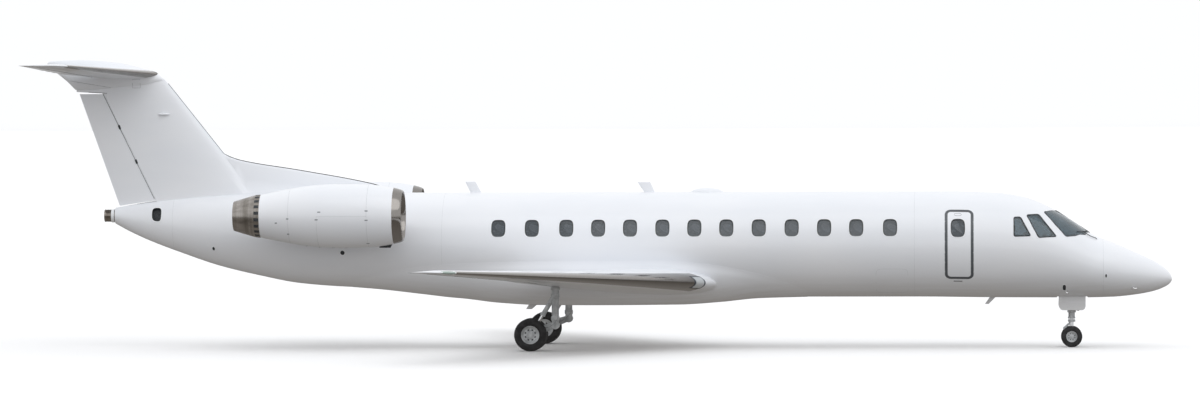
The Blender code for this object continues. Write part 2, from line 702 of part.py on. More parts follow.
def wing():
    low, high = WING_ROOT_Y, WING_TIP_Y
    step = 0.001
    rings = [section(wing_point, y, LEADING_STRIP, INNER_FLAP_FRONT)
             for y in (low, FLAP_JOINT_Y - step)]
    rings += [section(wing_point, y, LEADING_STRIP, FLAP_FRONT)
              for y in (FLAP_JOINT_Y, AILERON_IN_Y - RUNNING_GAP)]
    rings += [section(wing_point, y, LEADING_STRIP, None, AILERON_HINGE)
              for y in (AILERON_IN_Y - RUNNING_GAP + step, AILERON_OUT_Y + 0.014)]
    rings += [section(wing_point, y, LEADING_STRIP, 1.0)
              for y in (AILERON_OUT_Y + 0.014 + step, high)]
    rings += [section(wing_point, y, 0, 1.0)
              for y in (high + step, 9.75, 9.85, 9.93, 9.985, SPAN / 2)]
    left = loft("wing_left", rings, WHITE)
    combine(left, [spoiler_solid("cut", extra=RUNNING_GAP, above=0.1)])
    rings = []
    for y in (low, FLAP_JOINT_Y, AILERON_IN_Y, high - step):
        seat = LEADING_STRIP - 2 * SEAT_GAP / wing_chord(y)
        rings.append(section(wing_point, y, 0, seat, fractions=STRIP_SKIN))
    strip = loft("wing_leading_edge_left", rings, POLISHED)
    for piece in (left, strip):
        combine(piece, [fairing_blank("cut", extra=SEAT_GAP), fuselage_cutter()])
    flaps = []
    end_gap = 0.003
    for name, front, inner, outer in (
            ("flap_inboard_left", INNER_FLAP_FRONT, FLAP_ROOT_Y, FLAP_JOINT_Y - end_gap),
            ("flap_outboard_left", FLAP_FRONT, FLAP_JOINT_Y + end_gap,
             AILERON_IN_Y - RUNNING_GAP - end_gap)):
        rings = []
        for y in (inner, outer):
            seat = front + 2 * SEAT_GAP / wing_chord(y)
            rings.append(section(wing_point, y, seat, 1.0, fractions=(0.9, seat)))
        flaps.append(loft(name, rings, WHITE))
    combine(flaps[0], [fairing_blank("cut", extra=0.004), fuselage_cutter()])
    aileron = loft("aileron_left", [nose_section(wing_point, y, AILERON_HINGE)
                                    for y in (AILERON_IN_Y, AILERON_OUT_Y)], WHITE)
    end_pin(aileron, left, [hinge_point(wing_point, y, AILERON_HINGE)
                            for y in (AILERON_IN_Y, AILERON_OUT_Y)])
    spoiler = spoiler_solid("spoiler_left", WHITE)
    hinges = {"aileron": hinge_point(wing_point, AILERON_IN_Y, AILERON_HINGE),
              "spoiler": wing_point(SPOILER["inner"], SPOILER["front"], 1)}
    for piece, word in ((left, "wing"), (strip, "wing_leading_edge"), (flaps[0], "flap_inboard"),
                        (flaps[1], "flap_outboard"), (aileron, "aileron"), (spoiler, "spoiler")):
        other = mirrored(piece, f"{word}_right")
        if word in hinges:
            inner = hinges[word]
            hang_on(piece, inner)
            hang_on(other, (inner.x, -inner.y, inner.z))


def fin():
    heights = (3.1, 4.0, 5.0, RUDDER_TOP_Z, FIN_TOP_Z)
    body = loft("fin", [section(fin_point, z, 0, None, rudder_hinge_fraction(z))
                        for z in heights], WHITE)
    ridge_line = smooth_line([(18.05, 3.64), (18.65, 3.83), (20.35, 4.15), (21.76, 4.39),
                              (22.14, 4.54), (23.0, 5.4)])
    rings = []
    for station in (18.05, 18.4, 18.9, 19.8, 20.8, 21.7, 22.1, 22.6):
        ridge = ridge_line(station)
        foot = 3.35
        tall = ridge - fuselage_top(station)
        top_half = 0.012 + 0.030 * min(1, (station - 18.05) / 2)
        rows = [(0.0, ridge), (0.75 * top_half, ridge - 0.25 * top_half), (top_half, ridge - top_half),
                (top_half + 0.02, ridge - 0.5 * tall - top_half),
                (top_half + 0.05, fuselage_top(station) + 0.05 * tall + 0.01),
                (top_half + 0.10, fuselage_top(station) - 0.02), (top_half + 0.10, foot)]
        rings.append([Vector((x_at(station), y, z)) for y, z in rows]
                     + [Vector((x_at(station), -y, z)) for y, z in reversed(rows[1:])])
    dorsal = loft("dorsal", rings)
    combine(body, [dorsal], "UNION")
    combine(body, [fuselage_cutter()])
    rudder = loft("rudder", [nose_section(fin_point, z, rudder_hinge_fraction(z), 5)
                             for z in (3.2, 4.2, 5.2, RUDDER_TOP_Z - 0.04)], WHITE)
    combine(rudder, [tube("cut", [22.9, 23.3, 23.7, 24.1, 24.45, TAIL_CONE_END],
                          inset=-RUDDER_FOOT_GAP)])
    foot = Vector((x_at(RUDDER_BOTTOM[0]), 0, RUDDER_BOTTOM[1]))
    up = Vector((-RUDDER_HINGE_SLOPE, 0, 1)).normalized()
    pin_through(rudder, bpy.data.objects["tail_cone"], foot - up * 0.06, foot + up * 0.12, 0.02)
    hang_on(rudder, foot)


def tailplane():
    inner, outer = ELEVATOR_IN_Y - RUNNING_GAP, ELEVATOR_OUT_Y + 0.014
    step = 0.001
    left_rings = [section(tail_point, y, 0, None, ELEVATOR_HINGE) for y in (0.06, inner, outer)]
    left_rings += [section(tail_point, y, 0, 1.0)
                   for y in (outer + step, 3.5, 3.64, 3.73, TAIL_SPAN / 2)]
    right_rings = [[Vector((p.x, -p.y, p.z)) for p in ring] for ring in reversed(left_rings)]
    stabilizer = loft("stabilizer", right_rings + left_rings, WHITE)
    elevator = loft("elevator_left", [nose_section(tail_point, y, ELEVATOR_HINGE)
                                      for y in (ELEVATOR_IN_Y, ELEVATOR_OUT_Y)], WHITE)
    hinge = [hinge_point(tail_point, y, ELEVATOR_HINGE) for y in (ELEVATOR_IN_Y, ELEVATOR_OUT_Y)]
    end_pin(elevator, stabilizer, hinge)
    across = [Vector((p.x, -p.y, p.z)) for p in hinge]
    other = mirrored(elevator, "elevator_right")
    end_pin(other, stabilizer, across)
    hang_on(elevator, hinge[0])
    hang_on(other, (hinge[0].x, -hinge[0].y, hinge[0].z))


def fin_top_fairing():
    """A bullet over the joint. Its nose carries on the fin's leading edge."""
    top_line = smooth_line([(23.53, 6.285), (23.67, 6.40), (23.81, 6.48), (23.95, 6.53), (24.10, 6.57),
                            (24.6, 6.69), (25.55, 6.76), (26.26, 6.735), (26.30, 6.72)])
    bottom_line = smooth_line([(23.53, 6.255), (23.67, 6.20), (23.9, 6.13), (24.3, 6.09),
                               (25.60, 6.04), (25.83, 6.24), (26.30, 6.62)])
    half_line = smooth_line([(23.53, 0.02), (23.6, 0.068), (23.75, 0.12), (23.9, 0.155), (24.3, 0.19),
                             (25.0, 0.19), (25.6, 0.16), (26.30, 0.03)])
    rings = []
    sides = 16
    for station in (23.53, 23.60, 23.70, 23.85, 24.1, 24.5, 25.0, 25.6, 25.83, 26.05, 26.30):
        top, bottom, half = top_line(station), bottom_line(station), half_line(station)
        rings.append([Vector((x_at(station), half * math.sin(2 * math.pi * i / sides),
                              (top + bottom) / 2 + (top - bottom) / 2
                              * math.cos(2 * math.pi * i / sides))) for i in range(sides)])
    body = loft("fin_top_fairing", rings, WHITE)
    combine(body, [grown(bpy.data.objects["fin"], SEAT_GAP)])
    combine(body, [grown(bpy.data.objects["stabilizer"], SEAT_GAP)])


# Engines

def along_engine(station, radius):
    return (station - FAN_STATION, radius)


NACELLE_OUTER = [(17.89, 0.650), (18.15, 0.695), (18.5, 0.725), (18.91, 0.735), (19.38, 0.732),
                 (19.9, 0.690), (20.4, 0.610), (20.97, 0.497)]
NACELLE_END = 20.97
CORE_START = 19.10


def engine():
    centre = (x_at(FAN_STATION), ENGINE_Y, ENGINE_Z)
    aft = (-1, 0, 0)
    inner = [(NACELLE_END, 0.455), (CORE_START, 0.4553), (19.05, 0.498), (18.6, 0.500),
             (18.1, 0.522), (17.89, 0.530)]
    nacelle = turned("nacelle_left", [along_engine(*p) for p in NACELLE_OUTER + inner], centre, aft,
                     ENGINE_SIDES, WHITE, closed=True)
    lip_profile = [(17.89 - SEAT_GAP, 0.650), (17.80, 0.628), (17.73, 0.606), (17.69, 0.587),
                   (17.68, 0.575), (17.69, 0.562), (17.74, 0.547), (17.89 - SEAT_GAP, 0.530)]
    lip = turned("intake_lip_left", [along_engine(*p) for p in lip_profile], centre, aft,
                 ENGINE_SIDES, POLISHED, closed=True)
    nozzle_profile = [(NACELLE_END + SEAT_GAP, 0.495), (21.05, 0.492), (21.30, 0.430), (21.60, 0.340),
                      (21.60, 0.322), (21.30, 0.405), (NACELLE_END + SEAT_GAP, 0.455)]
    nozzle = turned("exhaust_nozzle_left", [along_engine(*p) for p in nozzle_profile], centre, aft,
                    ENGINE_SIDES, BARE_METAL, closed=True)
    core_profile = [(18.98 + SEAT_GAP, 0), (18.98 + SEAT_GAP, 0.06), (19.10 + SEAT_GAP, 0.06),
                    (19.10 + SEAT_GAP, 0.4545), (20.90, 0.4545), (20.90, 0.22), (21.32, 0)]
    core = turned("engine_core_left", [along_engine(*p) for p in core_profile], centre, aft,
                  ENGINE_SIDES, GEAR_METAL)
    blades = fan(centre)
    envelope = [(17.9, 0)] + NACELLE_OUTER + [(NACELLE_END, 0)]
    cutter = turned("cut", [along_engine(s, r + SEAT_GAP if r else 0) for s, r in envelope], centre,
                    aft, ENGINE_SIDES)
    pylon = pylon_body()
    combine(pylon, [cutter, fuselage_cutter()])
    for piece, word in ((nacelle, "nacelle"), (lip, "intake_lip"), (nozzle, "exhaust_nozzle"),
                        (core, "engine_core"), (pylon, "pylon")):
        mirrored(piece, f"{word}_right")
    other = mirrored(blades, "fan_right")
    hang_on(blades, centre)
    hang_on(other, (centre[0], -centre[1], centre[2]))


def fan(centre):
    """The front fan: a spinner with broad twisted blades."""
    hub = [(-0.34, 0), (-0.30, 0.055), (-0.13, 0.135), (0.03, 0.163), (0.18, 0.165), (0.18, 0)]
    count = 18
    body = turned("fan_left", hub, centre, (-1, 0, 0), count, GEAR_METAL)
    for i in range(count):
        spin = Matrix.Rotation(2 * math.pi * i / count, 3, "X")
        rows = []
        for radius, stagger, chord in ((0.145, 0.22, 0.11), (0.31, 0.75, 0.16),
                                       (FAN_RADIUS, 1.08, 0.17)):
            lead = Vector((math.cos(stagger), math.sin(stagger), 0)) * chord / 2
            thick = Vector((-math.sin(stagger), math.cos(stagger), 0)) * 0.006
            corners = [Vector((p.x, p.y, math.sqrt(radius ** 2 - p.y ** 2)))
                       for p in (lead, thick, -lead, -thick)]
            rows.append([spin @ p + Vector(centre) for p in corners])
        combine(body, [loft("blade", rows)], "UNION")
    return body


def pylon_body():
    """The engine's stub wing, from inside the fuselage skin to inside the nacelle."""
    rings = []
    start, end, middle_z = 18.35, NACELLE_END - 0.02, 3.06
    for y in (0.7, 1.75):
        ring = []
        count = 9
        for i in range(count):
            f = 1 - math.sin(math.pi / 2 * i / (count - 1))
            ring.append((f, 1))
        for i in range(1, count):
            f = 1 - math.cos(math.pi / 2 * i / (count - 1))
            ring.append((f, -1))
        rings.append([Vector((x_at(start + f * (end - start)), y,
                              middle_z + side * (end - start) * half_thickness(f, 0.105)))
                      for f, side in ring])
    return loft("pylon_left", rings, WHITE)


# Landing gear

NOSE_BAY_HALF = 0.25
NOSE_BAY_TOP = 1.52
FACET = math.cos(math.pi / WHEEL_SIDES)
NOSE_AXLE_Z = NOSE_TYRE["radius"] * FACET
MAIN_AXLE_Z = MAIN_TYRE["radius"] * FACET


def twin_wheels(name, size, centre):
    """Two tyres with their hubs on one axle, standing on a facet."""
    radius, width, rim, spacing, axle = (size[k] for k in ("radius", "width", "rim", "spacing",
                                                           "axle"))
    tall = radius - rim
    tread = [(-0.42, 0.0), (-0.50, 0.40), (-0.42, 0.86), (-0.22, 1.0), (0.22, 1.0), (0.42, 0.86),
             (0.50, 0.40), (0.42, 0.0)]
    outer = [(-0.40, 0.0), (-0.40, 0.34), (-0.20, 0.42), (-0.20, 0.94)]
    inner = [(0.20, 0.94)]
    wheel = [(f * width, share * rim) for f, share in outer]
    wheel += [(f * width, rim + share * tall) for f, share in tread]
    wheel += [(f * width, share * rim) for f, share in inner]
    wheel.append((0.20 * width, axle))
    left = [(-spacing + place, r) for place, r in wheel]
    right = [(-place, r) for place, r in reversed(left)]
    return turned(name, left + right, centre, (0, 1, 0), WHEEL_SIDES, RUBBER,
                  start=math.pi / WHEEL_SIDES)


def nose_gear():
    x, station = x_at(NOSE_GEAR_STATION), NOSE_GEAR_STATION
    leg_foot = 0.66
    leg = rod("nose_leg", (x, 0, NOSE_BAY_TOP - SEAT_GAP), (x, 0, leg_foot), 0.075, 20, GEAR_METAL)
    collar = rod("collar", (x, 0, 0.98), (x, 0, 0.80), 0.10, 20)
    brace = rod("brace", (x, 0, 1.02), (x_at(station - 0.27), 0, NOSE_BAY_TOP - 0.03), 0.035)
    trunnion = rod("trunnion", (x, -0.22, 1.40), (x, 0.22, 1.40), 0.045)
    combine(leg, [collar, brace, trunnion], "UNION")
    piston, sides = 0.048, 20
    bore = (piston + SEAT_GAP) / math.cos(math.pi / sides)
    combine(leg, [rod("cut", (x, 0, leg_foot - 0.1), (x, 0, leg_foot + 0.102), bore, sides)])
    fork = rod("nose_fork", (x, 0, leg_foot + 0.1), (x, 0, NOSE_AXLE_Z + 0.02), piston, sides,
               GEAR_METAL)
    boss = rod("boss", (x, -0.055, NOSE_AXLE_Z), (x, 0.055, NOSE_AXLE_Z), 0.062, 20)
    ring = rod("ring", (x, 0, leg_foot - 0.02), (x, 0, leg_foot - 0.075), 0.085, 20)
    link = slab("link", [(x - 0.03, 0.60), (x - 0.20, 0.45), (x - 0.20, 0.41), (x - 0.03, 0.28),
                         (x - 0.03, 0.34), (x - 0.15, 0.43), (x - 0.03, 0.54)], -0.03, 0.03)
    combine(fork, [boss, ring, link], "UNION")
    combine(fork, [rod("cut", (x, -0.2, NOSE_AXLE_Z), (x, 0.2, NOSE_AXLE_Z),
                       NOSE_TYRE["axle"] + 0.001, 20)])
    hang_on(fork, (x, 0, NOSE_AXLE_Z))
    wheels = twin_wheels("nose_wheels", NOSE_TYRE, (x, 0, NOSE_AXLE_Z))
    hang_on(wheels, (x, 0, NOSE_AXLE_Z))
    top, low = 1.36, 0.86
    outline = [(x_at(2.00), top), (x_at(2.60), top), (x_at(2.62), low + 0.12), (x_at(2.54), low),
               (x_at(2.08), low), (x_at(2.00), low + 0.10)]
    door = slab("nose_gear_door_left", outline, NOSE_BAY_HALF - SEAT_GAP - 0.022,
                NOSE_BAY_HALF - SEAT_GAP, "XZ", WHITE)
    mirrored(door, "nose_gear_door_right")


def main_gear():
    """A leg under the wing with a trailing arm, its shock absorber and twin wheels."""
    y, axle_x, axle_z = MAIN_GEAR_Y, x_at(MAIN_GEAR_STATION), MAIN_AXLE_Z
    leg_x, knee_z = x_at(MAIN_GEAR_STATION - TRAILING_ARM), 0.60
    leg = rod("main_leg_left", (leg_x, y, 1.62), (leg_x, y, knee_z), 0.085, 20, GEAR_METAL)
    knee = rod("knee", (leg_x, y - 0.065, knee_z), (leg_x, y + 0.065, knee_z), 0.10, 20)
    arm = slab("arm", [(leg_x, knee_z + 0.075), (leg_x, knee_z - 0.075), (axle_x, axle_z - 0.085),
                       (axle_x, axle_z + 0.085), (axle_x + 0.10, axle_z + 0.17)],
               y - 0.045, y + 0.045)
    boss = rod("boss", (axle_x, y - 0.060, axle_z), (axle_x, y + 0.060, axle_z), 0.095, 20)
    shock_foot = (axle_x + 0.06, y, axle_z + 0.10)
    shock_head = (leg_x - 0.02, y, 1.28)
    barrel_foot = Vector(shock_foot).lerp(Vector(shock_head), 0.42)
    piston = rod("piston", shock_foot, shock_head, 0.035)
    barrel = rod("barrel", barrel_foot, shock_head, 0.055)
    combine(leg, [knee, arm, boss, piston, barrel], "UNION")
    combine(leg, [rod("cut", (axle_x, y - 0.3, axle_z), (axle_x, y + 0.3, axle_z),
                      MAIN_TYRE["axle"] + 0.001, 20)])
    wing_under = grown(bpy.data.objects["wing_left"], SEAT_GAP)
    combine(leg, [wing_under])
    wheels = twin_wheels("main_wheels_left", MAIN_TYRE, (axle_x, y, axle_z))
    mirrored(leg, "main_leg_right")
    other = mirrored(wheels, "main_wheels_right")
    hang_on(wheels, (axle_x, y, axle_z))
    hang_on(other, (axle_x, -y, axle_z))


# Cockpit

def cockpit():
    floor = FLOOR_Z + SEAT_GAP
    panel_front, panel_back = 2.30, 2.72
    outline = [(x_at(panel_front), floor), (x_at(panel_back - 0.08), floor),
               (x_at(panel_back - 0.08), 2.20), (x_at(panel_back), 2.46), (x_at(panel_back), 2.52),
               (x_at(panel_front), 2.48)]
    panel = slab("instrument_panel", outline, -0.70, 0.70, "XZ", GREY)
    pedestal = slab("pedestal", [(x_at(panel_front), floor), (x_at(3.22), floor), (x_at(3.22), 2.05),
                                 (x_at(panel_back - 0.1), 2.25), (x_at(panel_front), 2.25)],
                    -0.16, 0.16)
    combine(panel, [pedestal], "UNION")
    seat = [(3.05, 2.02), (3.05, 2.12), (3.48, 2.10), (3.60, 2.55), (3.62, 2.86), (3.70, 2.86),
            (3.72, 2.50), (3.62, 2.00), (3.56, floor), (3.14, floor), (3.14, 2.02)]
    left = slab("pilot_seat_left", [(x_at(s), z) for s, z in seat], 0.24, 0.68, "XZ", CLOTH)
    mirrored(left, "pilot_seat_right")


fuselage()
combine(fairing_blank("wing_body_fairing", WHITE), [fuselage_cutter()])
wing()
fin()
tailplane()
fin_top_fairing()
engine()
nose_gear()
main_gear()
cockpit()
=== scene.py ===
import functools
import math

import bmesh
import bpy
import numpy as np
from mathutils import Matrix, Vector


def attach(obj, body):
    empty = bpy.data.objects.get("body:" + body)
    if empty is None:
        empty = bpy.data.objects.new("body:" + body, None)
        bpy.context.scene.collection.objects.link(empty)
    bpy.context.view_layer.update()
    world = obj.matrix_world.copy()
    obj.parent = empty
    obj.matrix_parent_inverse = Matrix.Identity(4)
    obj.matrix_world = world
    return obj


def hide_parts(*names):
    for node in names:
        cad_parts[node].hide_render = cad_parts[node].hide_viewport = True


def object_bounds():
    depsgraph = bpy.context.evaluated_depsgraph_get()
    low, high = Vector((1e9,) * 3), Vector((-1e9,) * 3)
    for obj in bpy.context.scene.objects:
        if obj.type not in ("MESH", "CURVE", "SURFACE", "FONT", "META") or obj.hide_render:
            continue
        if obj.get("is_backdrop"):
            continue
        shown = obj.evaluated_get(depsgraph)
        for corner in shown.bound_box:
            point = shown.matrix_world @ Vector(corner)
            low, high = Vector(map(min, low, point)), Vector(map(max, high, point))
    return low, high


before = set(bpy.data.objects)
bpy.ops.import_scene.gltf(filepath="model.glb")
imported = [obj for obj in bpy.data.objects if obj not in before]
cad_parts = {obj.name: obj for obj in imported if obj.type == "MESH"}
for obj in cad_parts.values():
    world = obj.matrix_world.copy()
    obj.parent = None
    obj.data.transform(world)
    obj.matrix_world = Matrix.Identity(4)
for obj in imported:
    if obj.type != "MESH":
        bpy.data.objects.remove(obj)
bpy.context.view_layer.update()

# Camera
# The photograph looks at the right-hand side from far off with a long lens, about four
# degrees ahead of square on. The sizes are read in its own frame of 1200 by 402 pixels.
photo_width, photo_height = 1200, 402
metres_per_pixel = 0.02337
viewing_distance = 123.0
bearing, roll = math.radians(4.0), math.radians(-0.2)
eye_height = 5.30
aim_x, aim_z, aim_pixel_v = -0.13, 2.40, 244.5
sensor_mm = 36.0

camera_data = bpy.data.cameras.new("camera")
camera = bpy.data.objects.new("camera", camera_data)
bpy.context.scene.collection.objects.link(camera)
bpy.context.scene.camera = camera
target = Vector((aim_x, 0, aim_z + (aim_pixel_v - photo_height / 2) * metres_per_pixel))
camera.location = Vector((target.x + viewing_distance * math.sin(bearing),
                          -viewing_distance * math.cos(bearing), eye_height))
look = (target - camera.location).to_track_quat("-Z", "Y").to_matrix()
camera.rotation_euler = (look @ Matrix.Rotation(roll, 3, "Z")).to_euler()
camera_data.sensor_width = sensor_mm
camera_data.lens = sensor_mm * viewing_distance / metres_per_pixel / photo_width
camera_data.clip_end = 4000


# Floor and studio light
# A wide pale matt floor, a white ceiling over a darker warm ground, and one large soft lamp
# on the camera's side. The floor takes shadows and sends no light back to the aircraft.
floor_half = 3000.0


def srgb(code, share=1.0):
    """A hex colour as it looks on a screen, turned to linear red, green and blue and darkened
    to a share of itself."""
    parts = [int(code[i:i + 2], 16) / 255 for i in (1, 3, 5)]
    return (*(share * (p / 12.92 if p <= 0.04045 else ((p + 0.055) / 1.055) ** 2.4)
              for p in parts), 1.0)


def add_node(tree, kind, links=None, **settings):
    """Adds one node. links gives each named input a value or the socket that feeds it."""
    made = tree.nodes.new(kind)
    for name, value in settings.items():
        setattr(made, name, value)
    for name, source in (links or {}).items():
        if isinstance(source, bpy.types.NodeSocket):
            tree.links.new(source, made.inputs[name])
        else:
            made.inputs[name].default_value = source
    return made


def new_material(name, **inputs):
    """A material with its one shader, whose plain inputs are set directly."""
    made = bpy.data.materials.new(name)
    made.use_nodes = True
    shader = made.node_tree.nodes["Principled BSDF"]
    for key, value in inputs.items():
        shader.inputs[key.replace("_", " ")].default_value = value
    return made, made.node_tree, shader


def new_object(name, mesh, material=None):
    """Turns a bmesh or a mesh into an object of the scene."""
    if isinstance(mesh, bmesh.types.BMesh):
        data = bpy.data.meshes.new(name)
        mesh.to_mesh(data)
        mesh.free()
        mesh = data
    made = bpy.data.objects.new(name, mesh)
    bpy.context.scene.collection.objects.link(made)
    if material:
        mesh.materials.clear()
        mesh.materials.append(material)
    return made


floor_mesh = bmesh.new()
floor_mesh.faces.new([floor_mesh.verts.new((x * floor_half, y * floor_half, 0))
                      for x, y in ((-1, -1), (1, -1), (1, 1), (-1, 1))])
floor_material, _, _ = new_material("matt_studio_floor", Base_Color=srgb("#fafafa"), Roughness=0.9)
floor = new_object("studio_floor", floor_mesh, floor_material)
floor.visible_diffuse = False
floor.visible_glossy = False
floor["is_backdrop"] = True

world = bpy.data.worlds.new("studio")
bpy.context.scene.world = world
world.use_nodes = True
tree = world.node_tree
tree.nodes.clear()
direction = add_node(tree, "ShaderNodeTexCoord")
split = add_node(tree, "ShaderNodeSeparateXYZ", {"Vector": direction.outputs["Generated"]})
height = add_node(tree, "ShaderNodeMapRange", {"Value": split.outputs["Z"], "From Min": -1.0,
                                               "From Max": 0.0})
light = add_node(tree, "ShaderNodeValToRGB", {"Fac": height.outputs["Result"]})
light.color_ramp.elements[0].color = srgb("#9d9995")
light.color_ramp.elements.new(0.88).color = srgb("#7f7b76")
light.color_ramp.elements[2].color = srgb("#fcfdff")
sky = add_node(tree, "ShaderNodeBackground", {"Color": light.outputs["Color"], "Strength": 1.02})
add_node(tree, "ShaderNodeOutputWorld", {"Surface": sky.outputs["Background"]})

lamp_data = bpy.data.lights.new("softbox", "SUN")
lamp_data.angle = math.radians(50)
lamp_data.energy = 0.5
lamp = bpy.data.objects.new("softbox", lamp_data)
bpy.context.scene.collection.objects.link(lamp)
lamp.rotation_euler = Vector((-0.35, 0.75, -1.0)).to_track_quat("-Z", "Y").to_euler()
bpy.context.scene.view_settings.view_transform = "Standard"


# Fuselage
# A riveted aluminium hull of near round section with a glass fibre radome and a drooped tail
# cone. The lines give its top, bottom and half width by station, the distance from the nose tip.
nose_x = 26.33 / 2
tube_radius = 1.225
wall = 0.10
cabin_floor = 1.68
seat_gap = 0.0003
running_gap = 0.008
hull_sides = 96
weld_distance = 0.00002
top_line = [(0, 1.575), (0.14, 1.81), (0.55, 2.06), (0.97, 2.25), (1.38, 2.44), (1.66, 2.535),
            (1.84, 2.62), (2.24, 2.90), (2.58, 3.11), (3.05, 3.36), (3.51, 3.51), (4.1, 3.59),
            (5.2, 3.625), (21.0, 3.625), (22.5, 3.57), (23.77, 3.44), (24.71, 3.29)]
bottom_line = [(0, 1.575), (0.14, 1.41), (0.42, 1.30), (0.83, 1.22), (1.39, 1.165), (2.13, 1.15),
               (3.98, 1.155), (6.0, 1.175), (15.5, 1.175), (16.6, 1.21), (17.5, 1.30), (18.5, 1.39),
               (19.41, 1.43), (20.36, 1.51), (21.3, 1.69), (22.25, 1.92), (23.19, 2.24),
               (23.9, 2.51), (24.38, 2.73), (24.71, 2.91)]
half_width_line = [(0, 0), (0.14, 0.225), (0.42, 0.38), (0.83, 0.57), (1.39, 0.77), (2.13, 0.95),
                   (2.8, 1.06), (3.5, 1.14), (4.2, 1.19), (5.2, 1.225), (17.0, 1.225),
                   (19.4, 1.16), (20.3, 1.07), (21.3, 0.91), (22.25, 0.73), (23.2, 0.53),
                   (23.9, 0.38), (24.4, 0.27), (24.71, 0.20)]


def smooth_line(points, by_root=False):
    """A curve through (place, value) points that never overshoots them."""
    places = np.array([math.sqrt(p) if by_root else p for p, _ in points], float)
    values = np.array([v for _, v in points], float)
    slopes = np.diff(values) / np.diff(places)
    tangents = np.zeros_like(values)
    tangents[0], tangents[-1] = slopes[0], slopes[-1]
    for i in range(1, len(values) - 1):
        if slopes[i - 1] * slopes[i] > 0:
            tangents[i] = 2 / (1 / slopes[i - 1] + 1 / slopes[i])

    @functools.lru_cache(maxsize=None)
    def value(place):
        at = math.sqrt(max(place, 0)) if by_root else place
        at = min(max(at, places[0]), places[-1])
        i = min(int(np.searchsorted(places, at, side="right")) - 1, len(places) - 2)
        step = places[i + 1] - places[i]
        t = (at - places[i]) / step
        return float(values[i] * (1 + 2 * t) * (1 - t) ** 2
                     + tangents[i] * step * t * (1 - t) ** 2
                     + values[i + 1] * t * t * (3 - 2 * t)
                     + tangents[i + 1] * step * t * t * (t - 1))
    return value


hull_top = smooth_line(top_line, by_root=True)
hull_bottom = smooth_line(bottom_line, by_root=True)
hull_half = smooth_line(half_width_line, by_root=True)


def spot(station, y, z):
    """A point by its station, its distance to the left and its height."""
    return Vector((nose_x - station, y, z))


def around(count):
    """Angles spaced evenly all the way round."""
    return [2 * math.pi * i / count for i in range(count)]


@functools.lru_cache(maxsize=None)
def hull_oval(station):
    """The hull's half width, middle height and half height at a station."""
    top, bottom = hull_top(station), hull_bottom(station)
    return hull_half(station), (top + bottom) / 2, (top - bottom) / 2


def hull_point(station, turn, out=0.0):
    """A point of the hull. turn is 0 at the top and grows to the left, out stands off the skin."""
    half, middle, rise = hull_oval(station)
    return spot(station, (half + out) * math.sin(turn), middle + (rise + out) * math.cos(turn))


def hull_turn(station, height, side=1):
    """The turn at which the hull is at a height, on the left (1) or the right (-1)."""
    _, middle, rise = hull_oval(station)
    return side * math.acos(max(-1, min(1, (height - middle) / rise)))


@functools.lru_cache(maxsize=None)
def hull_lines(station):
    """The hull's oval at a station, and how each of its three sizes changes there."""
    step = 0.01
    back, here, ahead = (hull_oval(at) for at in (station - step, station, station + step))
    return here, tuple((b - a) / (2 * step) for a, b in zip(back, ahead))


def hull_normal(point, tolerance=0.004):
    """The outward direction of the hull at a point, or None off the hull."""
    (half, middle, rise), (d_half, d_middle, d_rise) = hull_lines(round(nose_x - point.x, 4))
    if half < 0.01:
        return None
    y, z = point.y / half, (point.z - middle) / rise
    if abs(math.hypot(y, z) - 1) * min(half, rise) > tolerance:
        return None
    return Vector((y * y * d_half / half + z * (d_middle + z * d_rise) / rise, y / half,
                   z / rise)).normalized()


def weld(mesh):
    """Merges points that fall together and drops what they leave without area."""
    bmesh.ops.remove_doubles(mesh, verts=mesh.verts, dist=weld_distance)
    bmesh.ops.dissolve_degenerate(mesh, edges=mesh.edges, dist=weld_distance)


def loft(rings, closed=False, triangles=False):
    """A skin over rings of points, closed at both ends. A ring of one point is a pole."""
    mesh = bmesh.new()
    rows = [[mesh.verts.new(point) for point in ring] for ring in rings]
    pairs = list(zip(rows, rows[1:]))
    if closed:
        pairs.append((rows[-1], rows[0]))
    for first, second in pairs:
        count = max(len(first), len(second))
        for i in range(count):
            j = (i + 1) % count
            if len(first) == 1:
                mesh.faces.new((first[0], second[j], second[i]))
            elif len(second) == 1:
                mesh.faces.new((first[i], first[j], second[0]))
            elif triangles:
                mesh.faces.new((first[i], first[j], second[j]))
                mesh.faces.new((first[i], second[j], second[i]))
            else:
                mesh.faces.new((first[i], first[j], second[j], second[i]))
    if not closed:
        for end in (rows[0], rows[-1]):
            if len(end) > 2:
                mesh.faces.new(end)
    weld(mesh)
    bmesh.ops.recalc_face_normals(mesh, faces=mesh.faces)
    return mesh


def rework(data, work):
    """Runs a function on a mesh by way of a bmesh."""
    mesh = bmesh.new()
    mesh.from_mesh(data)
    work(mesh)
    mesh.to_mesh(data)
    mesh.free()


def bake(piece):
    """Makes what a piece's modifiers show its plain mesh."""
    graph = bpy.context.evaluated_depsgraph_get()
    graph.update()
    result = bpy.data.meshes.new_from_object(piece.evaluated_get(graph))
    piece.modifiers.clear()
    piece.data = result
    return piece


def cut(piece, *tools, operation="DIFFERENCE"):
    """Cuts, joins or intersects a piece with closed meshes, which are used up."""
    for tool in tools:
        tool = new_object("cutter", tool)
        for part in (piece, tool):
            rework(part.data, lambda mesh: bmesh.ops.triangulate(mesh, faces=mesh.faces))
        step = piece.modifiers.new("cut", "BOOLEAN")
        step.operation, step.solver, step.object = operation, "EXACT", tool
        rework(bake(piece).data, weld)
        bpy.data.objects.remove(tool, do_unlink=True)
    return piece


def smooth(piece, degrees=35):
    """Smooth shading with crisp edges above an angle."""
    piece.data.shade_smooth()
    piece.data.set_sharp_from_angle(angle=math.radians(degrees))
    return piece


